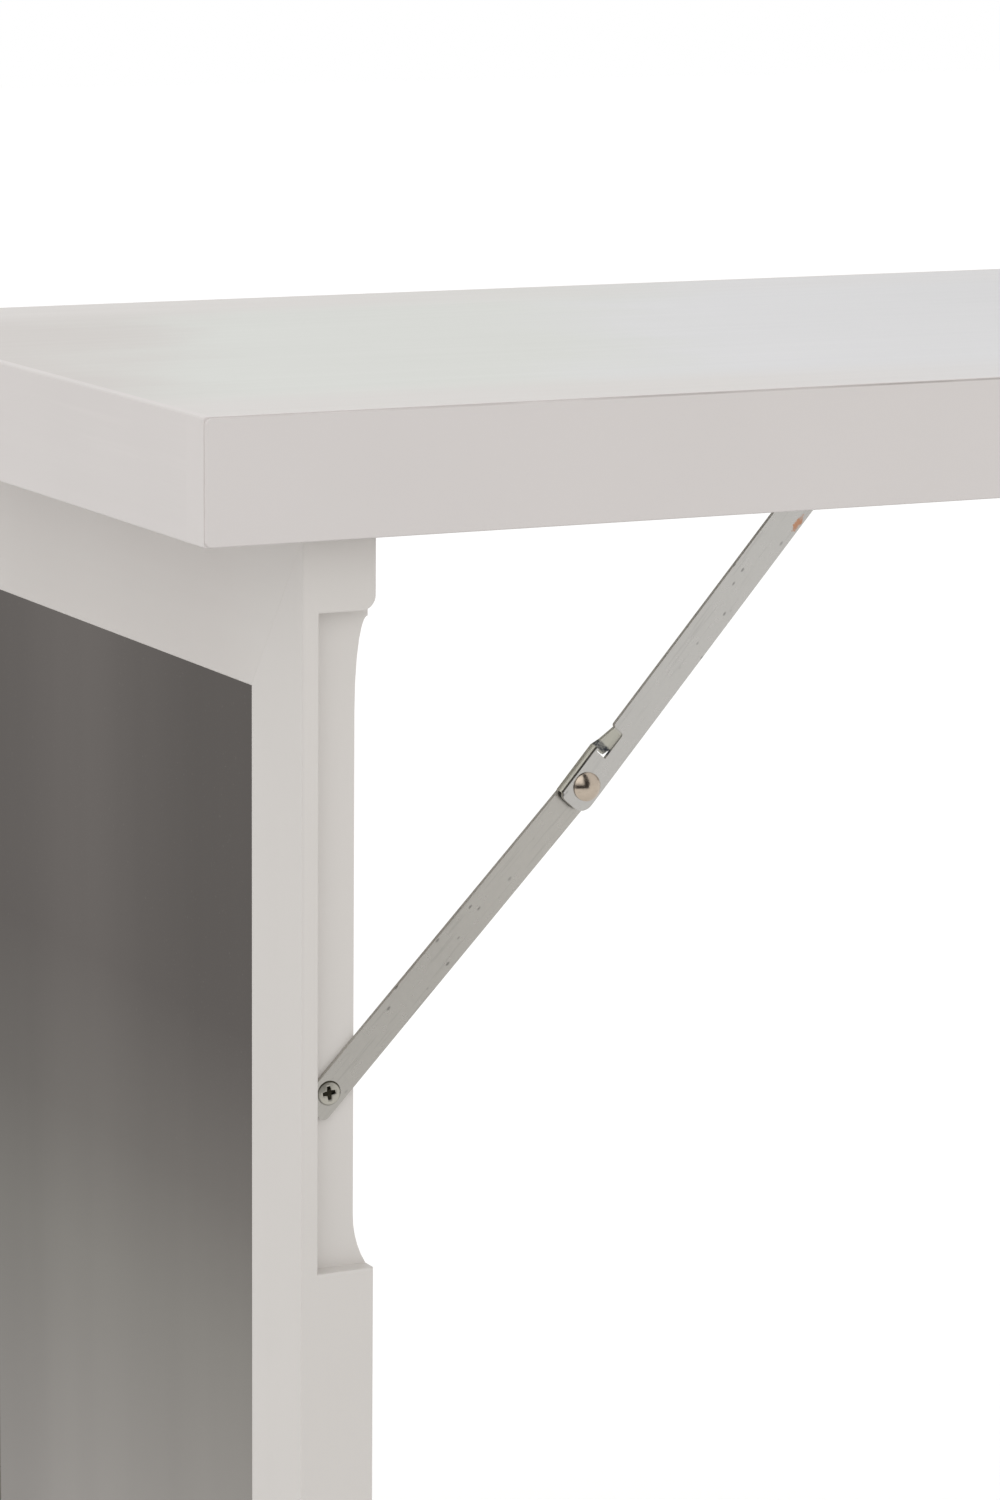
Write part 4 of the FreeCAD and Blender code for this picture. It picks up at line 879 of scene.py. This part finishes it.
def make_recess_plug(centre, outward, reach, width, tip_share, depth, twist):
    lift = depth / 2
    bpy.ops.mesh.primitive_cube_add(size=1, scale=(width, width, depth + lift),
                                    location=(0, 0, (lift - depth) / 2))
    plug = bpy.context.object
    settle(plug)
    pick(plug, "faces", is_upright)
    bpy.ops.mesh.extrude_faces_move(TRANSFORM_OT_shrink_fatten={"value": reach - width / 2})
    pick(plug, "vertices", lambda corner: abs(corner.co.x) > reach - HAIR)
    bpy.ops.transform.resize(value=(1, tip_share, 1), center_override=(0, 0, 0))
    pick(plug, "vertices", lambda corner: abs(corner.co.y) > reach - HAIR)
    bpy.ops.transform.resize(value=(tip_share, 1, 1), center_override=(0, 0, 0))
    pick(plug, "vertices", lambda corner: corner.co.z < HAIR - depth)
    bpy.ops.transform.resize(value=(RECESS_FOOT_SHARE, RECESS_FOOT_SHARE, 1),
                             center_override=(0, 0, -depth))
    bpy.ops.object.mode_set(mode="OBJECT")
    plug.matrix_world = Matrix.Translation(centre) @ turned_to(outward, twist)
    settle(plug)
    return plug


# %% [markdown]
# Each row of screws is copied from the frame and parted into single screws.  The recess goes into the
# middle of each head with a Boolean.  No two screws of a row stop at the same angle, so each recess is
# twisted a step further than the one before, in radians.

# %% Cut a recess into every head of a row of screws
FIRST_TWIST, TWIST_STEP = 0.3, 0.8
SMOOTH_BELOW = math.radians(30)


def copy_of(name):
    """A node's mesh as a new object, with the doubled corners of its loose triangles merged."""
    piece = bpy.data.objects.new(name + "_copy", nodes[name].data.copy())
    bpy.context.scene.collection.objects.link(piece)
    alone(piece)
    bpy.ops.object.mode_set(mode="EDIT")
    bpy.ops.mesh.select_all(action="SELECT")
    bpy.ops.mesh.remove_doubles(threshold=HAIR)
    bpy.ops.object.mode_set(mode="OBJECT")
    return piece


def head_centre(screw, outward):
    """The middle of a screw's head face."""
    corners = [corner.co for corner in screw.data.vertices]
    low = Vector([min(corner[i] for corner in corners) for i in range(3)])
    high = Vector([max(corner[i] for corner in corners) for i in range(3)])
    middle = (low + high) / 2
    return middle + outward * max((corner - middle).dot(outward) for corner in corners)


def cut_recess(screw, outward, recess, twist):
    plug = make_recess_plug(head_centre(screw, outward), outward, *recess, twist)
    alone(screw)
    cut = screw.modifiers.new("recess", "BOOLEAN")
    cut.operation = "DIFFERENCE"
    cut.solver = "EXACT"
    cut.object = plug
    bpy.ops.object.modifier_apply(modifier=cut.name)
    bpy.data.objects.remove(plug)


def make_screws(new_name, node, outward, body, recess, first_twist=FIRST_TWIST):
    piece = copy_of(node)
    bpy.ops.object.mode_set(mode="EDIT")
    bpy.ops.mesh.separate(type="LOOSE")
    bpy.ops.object.mode_set(mode="OBJECT")
    screws = sorted(bpy.context.selected_objects, key=lambda screw: tuple(head_centre(screw, outward)))
    for index, screw in enumerate(screws):
        cut_recess(screw, outward, recess, first_twist + TWIST_STEP * index)
    alone(screws[0])
    for screw in screws:
        screw.select_set(True)
    if len(screws) > 1:
        bpy.ops.object.join()
    whole = bpy.context.object
    whole.name = new_name
    bpy.ops.object.shade_smooth_by_angle(angle=SMOOTH_BELOW)
    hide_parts(node)
    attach(whole, body)
    print(new_name, ":", len(screws), "screws,", len(whole.data.polygons), "faces")


# %% [markdown]
# A recess is given by its reach from the middle, the width of its arms, the share of that width at
# their tips, and its depth.  A screw's head looks away from what it holds.

# %% Hinge, rail and top screws
OUT_OF_WALL = Vector((-1, 0, 0))
INTO_WALL = Vector((1, 0, 0))
UP = Vector((0, 0, 1))
TO_RIGHT = Vector((0, -1, 0))
TO_LEFT = Vector((0, 1, 0))
HINGE_RECESS = (1.9 * MM, 1.0 * MM, 0.6, 1.6 * MM)
RAIL_RECESS = (2.8 * MM, 1.4 * MM, 0.6, 2.2 * MM)
TOP_RECESS = (2.6 * MM, 1.3 * MM, 0.6, 2.0 * MM)
for node, outward, body, recess in [
        ("wall_hinge_screws", OUT_OF_WALL, "wall_side", HINGE_RECESS),
        ("leaf_hinge_screws", INTO_WALL, "leaf", HINGE_RECESS),
        ("batten_hinge_screws", INTO_WALL, "leaf", HINGE_RECESS),
        ("leg_hinge_screws", UP, "leg", HINGE_RECESS),
        ("rail_screws", OUT_OF_WALL, "wall_side", RAIL_RECESS)]:
    make_screws(node + "_cross", node, outward, body, recess)
for hand, inward in (("right", TO_LEFT), ("left", TO_RIGHT)):
    make_screws("stay_top_screw_cross_" + hand, "stay_top_screw_" + hand, inward, "leaf", TOP_RECESS)

# %% [markdown]
# The foot screws are the ones that are looked at.  Their recess is large, and its arms are worn blunt.

# %% Foot screws
FOOT_RECESS, FOOT_TWIST = (4.0 * MM, 2.9 * MM, 0.75, 2.0 * MM), 0.12
for hand, outward in (("right", TO_RIGHT), ("left", TO_LEFT)):
    make_screws("stay_foot_screw_worn_" + hand, "stay_foot_screw_" + hand, outward, "leg",
                FOOT_RECESS, FOOT_TWIST)

# %% [markdown]
# ## Rivet heads
# A rivet that was set with a domed punch has a smooth cap with a small straight rim.  The cap is the top
# of a sphere that is cut off level, so it starts as a sphere; the rim and the shank are pulled down
# from the cut.  How round the cap is follows from its width and height.

# %% The rivet at each stay's joint
RIVET_RADIUS, RIVET_CROWN, RIVET_RIM = 6.0 * MM, 2.4 * MM, 0.5 * MM
SHANK_RADIUS, SHANK_LENGTH = 2.45 * MM, 2.0 * MM
BALL_SEGMENTS, BALL_RINGS = 64, 80


def make_rivet(hand, outward):
    ball = (RIVET_RADIUS ** 2 + RIVET_CROWN ** 2) / (2 * RIVET_CROWN)
    bpy.ops.mesh.primitive_uv_sphere_add(segments=BALL_SEGMENTS, ring_count=BALL_RINGS, radius=ball,
                                         location=(0, 0, RIVET_RIM + RIVET_CROWN - ball))
    rivet = bpy.context.object
    rivet.name = "stay_rivet_dome_" + hand
    settle(rivet)
    bpy.ops.object.mode_set(mode="EDIT")
    bpy.ops.mesh.select_all(action="SELECT")
    bpy.ops.mesh.bisect(plane_co=(0, 0, RIVET_RIM), plane_no=(0, 0, 1), clear_inner=True, use_fill=True)
    bpy.ops.mesh.extrude_region_move(TRANSFORM_OT_translate={"value": (0, 0, -RIVET_RIM)})
    bpy.ops.mesh.inset(thickness=RIVET_RADIUS - SHANK_RADIUS)
    bpy.ops.mesh.extrude_region_move(TRANSFORM_OT_translate={"value": (0, 0, -SHANK_LENGTH)})
    bpy.ops.mesh.select_all(action="SELECT")
    bpy.ops.mesh.normals_make_consistent(inside=False)
    bpy.ops.object.mode_set(mode="OBJECT")
    seat = JOINT + outward * UPPER_ARM_FACE
    rivet.matrix_world = Matrix.Translation(seat) @ turned_to(outward, 0)
    settle(rivet)
    bpy.ops.object.shade_smooth_by_angle(angle=SMOOTH_BELOW)
    rivet.data.materials.append(nickel)
    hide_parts("stay_rivet_" + hand)
    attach(rivet, "upper_stay_" + hand)
    print(rivet.name, "faces:", len(rivet.data.polygons), "size in mm:",
          [round(size / MM, 2) for size in rivet.dimensions])


make_rivet("right", TO_RIGHT)
make_rivet("left", TO_LEFT)

# %% [markdown]
# ## Camera
# The camera stands a little above the table, in front of its free corner, and looks slightly down.
# Its direction is built from three angles: a turn to the right, a tilt down and a very small roll.

# %% Camera
CAMERA_PLACE = Vector((-1.588, -1.911, 0.222))
CAMERA_TURN, CAMERA_TILT, CAMERA_ROLL = math.radians(27.23), math.radians(10.66), math.radians(0.51)
LENS, SENSOR_WIDTH = 118.4, 36.0
FARTHEST_SEEN = 50


def make_camera(place, turn, tilt, roll):
    data = bpy.data.cameras.new("camera")
    data.sensor_width = SENSOR_WIDTH
    data.lens = LENS
    data.clip_end = FARTHEST_SEEN
    camera = bpy.data.objects.new("camera", data)
    bpy.context.scene.collection.objects.link(camera)
    ahead = Vector((math.sin(turn) * math.cos(tilt), math.cos(turn) * math.cos(tilt), -math.sin(tilt)))
    side = Vector((math.cos(turn), -math.sin(turn), 0))
    up = side.cross(ahead)
    rolled_side = math.cos(roll) * side + math.sin(roll) * up
    rolled_up = -math.sin(roll) * side + math.cos(roll) * up
    turned = Matrix((rolled_side, rolled_up, -ahead)).transposed()
    camera.matrix_world = Matrix.Translation(place) @ turned.to_4x4()
    bpy.context.scene.camera = camera
    print("camera at", tuple(round(v, 3) for v in camera.location))


make_camera(CAMERA_PLACE, CAMERA_TURN, CAMERA_TILT, CAMERA_ROLL)

# %% [markdown]
# ## Light and floor
# The object is lit by an even white surround, with one large soft lamp to give the undersides and
# edges some direction.  The floor and the surround look white where the camera, glossy or transmitted
# rays see them, and the floor still keeps the table's shadow.  Stronger lamps would whiten the floor as
# well, but the pale paint would burn out with it.

# %% World
SURROUND_COLOUR, SURROUND_STRENGTH = (1, 0.995, 0.985, 1), 0.95
WHITE = (1, 1, 1, 1)


def seen_directly(tree):
    """1 for rays that show the background itself: from the camera, in a reflection or through glass."""
    path = add(tree, "ShaderNodeLightPath")
    seen = math_step(tree, "MAXIMUM", path.outputs["Is Camera Ray"], path.outputs["Is Glossy Ray"])
    return math_step(tree, "MAXIMUM", seen, path.outputs["Is Transmission Ray"])


def add_background(tree, colour, strength):
    background = add(tree, "ShaderNodeBackground")
    background.inputs["Color"].default_value = colour
    background.inputs["Strength"].default_value = strength
    return background.outputs[0]


def make_world():
    world = bpy.data.worlds.new("surround")
    world.use_nodes = True
    tree = world.node_tree
    tree.nodes.clear()
    out = add(tree, "ShaderNodeOutputWorld")
    choose = add(tree, "ShaderNodeMixShader")
    join(tree, seen_directly(tree), choose.inputs["Fac"])
    join(tree, add_background(tree, SURROUND_COLOUR, SURROUND_STRENGTH), choose.inputs[1])
    join(tree, add_background(tree, WHITE, 1.0), choose.inputs[2])
    join(tree, choose.outputs[0], out.inputs["Surface"])
    bpy.context.scene.world = world
    print("surround lights at", SURROUND_STRENGTH)


make_world()

# %% [markdown]
# A polished dome shows the studio around it.  With nothing but white there it would look flat, so two
# dark cards stand round the lamp: a low one along the floor and an upright one.  Only reflections see
# them.  Lamp and cards are placed by what they face, a point in the middle of the leg and its stays.

# %% Lamp
TARGET = Vector((-0.6, 0, -0.2))
LAMP_PLACE = Vector((-2.2, -2.2, 1.7))
LAMP_WIDTH, LAMP_HEIGHT = 2.4, 2.0
LAMP_POWER = 8


def make_lamp():
    data = bpy.data.lights.new("soft_lamp", "AREA")
    data.shape = "RECTANGLE"
    data.size = LAMP_WIDTH
    data.size_y = LAMP_HEIGHT
    data.energy = LAMP_POWER
    lamp = bpy.data.objects.new("soft_lamp", data)
    bpy.context.scene.collection.objects.link(lamp)
    lamp.location = LAMP_PLACE
    lamp.rotation_euler = (TARGET - lamp.location).to_track_quat("-Z", "Y").to_euler()
    print("lamp of", LAMP_POWER, "watts at", tuple(LAMP_PLACE))


make_lamp()

# %% [markdown]
# A card is a grid that is bent round the target: its corners are put at one distance and spread evenly
# over a range of directions, so its size follows from the part of a reflection that it should fill.
# The grid starts flat and two wide, so that its corners run from -1 to 1 both ways.

# %% Dark cards
CARD_BLACK = (0.03, 0.025, 0.025, 1)
CARD_COLUMNS, CARD_ROWS = 12, 6


def make_matte(name, colour):
    """A material of one matte shader, which isn't joined to its output yet."""
    material = fresh_material(name)
    tree = material.node_tree
    out = add(tree, "ShaderNodeOutputMaterial")
    matte = add(tree, "ShaderNodeBsdfDiffuse")
    matte.inputs["Color"].default_value = colour
    return material, tree, matte.outputs[0], out.inputs["Surface"]


def make_card_paint():
    material, tree, matte, surface = make_matte("card_black", CARD_BLACK)
    join(tree, matte, surface)
    return material


def seen_from_target(turn, tilt, distance):
    """The point at a distance from the target, by its compass turn and its height angle in degrees."""
    turn, tilt = math.radians(turn), math.radians(tilt)
    direction = (math.cos(turn) * math.cos(tilt), math.sin(turn) * math.cos(tilt), math.sin(tilt))
    return TARGET + distance * Vector(direction)


def make_card(name, turns, tilts, distance):
    """A dark card that hides a range of directions, as seen from the target."""
    bpy.ops.mesh.primitive_grid_add(x_subdivisions=CARD_COLUMNS, y_subdivisions=CARD_ROWS, size=2)
    card = bpy.context.object
    card.name = name
    for corner in card.data.vertices:
        turn = turns[0] + (turns[1] - turns[0]) * (corner.co.x + 1) / 2
        tilt = tilts[0] + (tilts[1] - tilts[0]) * (corner.co.y + 1) / 2
        corner.co = seen_from_target(turn, tilt, distance)
    for ray_kind in ("camera", "diffuse", "transmission", "shadow"):
        setattr(card, "visible_" + ray_kind, False)
    card.data.materials.append(card_paint)
    print(name, "spans", turns, "by", tilts, "degrees")


card_paint = make_card_paint()
make_card("dark_card_low", turns=(-150, -72), tilts=(-12, 7), distance=2.6)
make_card("dark_card_upright", turns=(-96, -66), tilts=(3, 62), distance=3.6)

# %% [markdown]
# The floor lies where the table's feet end.  Its paint is a pale matte grey that takes the shadow, plus
# a faint glow for rays that see it directly, which lifts the lit part of it to white.

# %% Floor
FLOOR_SIZE = 30
FLOOR_LEVEL = cad_box[0][2]
FLOOR_GREY = (0.8, 0.8, 0.8, 1)
FLOOR_GLOW = 0.3


def make_floor_paint():
    material, tree, matte, surface = make_matte("floor_white", FLOOR_GREY)
    glow = add(tree, "ShaderNodeEmission")
    join(tree, times(tree, seen_directly(tree), FLOOR_GLOW), glow.inputs["Strength"])
    total = add(tree, "ShaderNodeAddShader")
    join(tree, matte, total.inputs[0])
    join(tree, glow.outputs[0], total.inputs[1])
    join(tree, total.outputs[0], surface)
    return material


bpy.ops.mesh.primitive_plane_add(size=FLOOR_SIZE, location=(0, 0, FLOOR_LEVEL))
floor = bpy.context.object
floor.name = "floor"
floor.data.materials.append(make_floor_paint())
print("floor at", FLOOR_LEVEL)

# %% [markdown]
# ## Finish
# Standard shows a colour about as it is written.

# %% Finish
bpy.context.scene.view_settings.view_transform = "Standard"
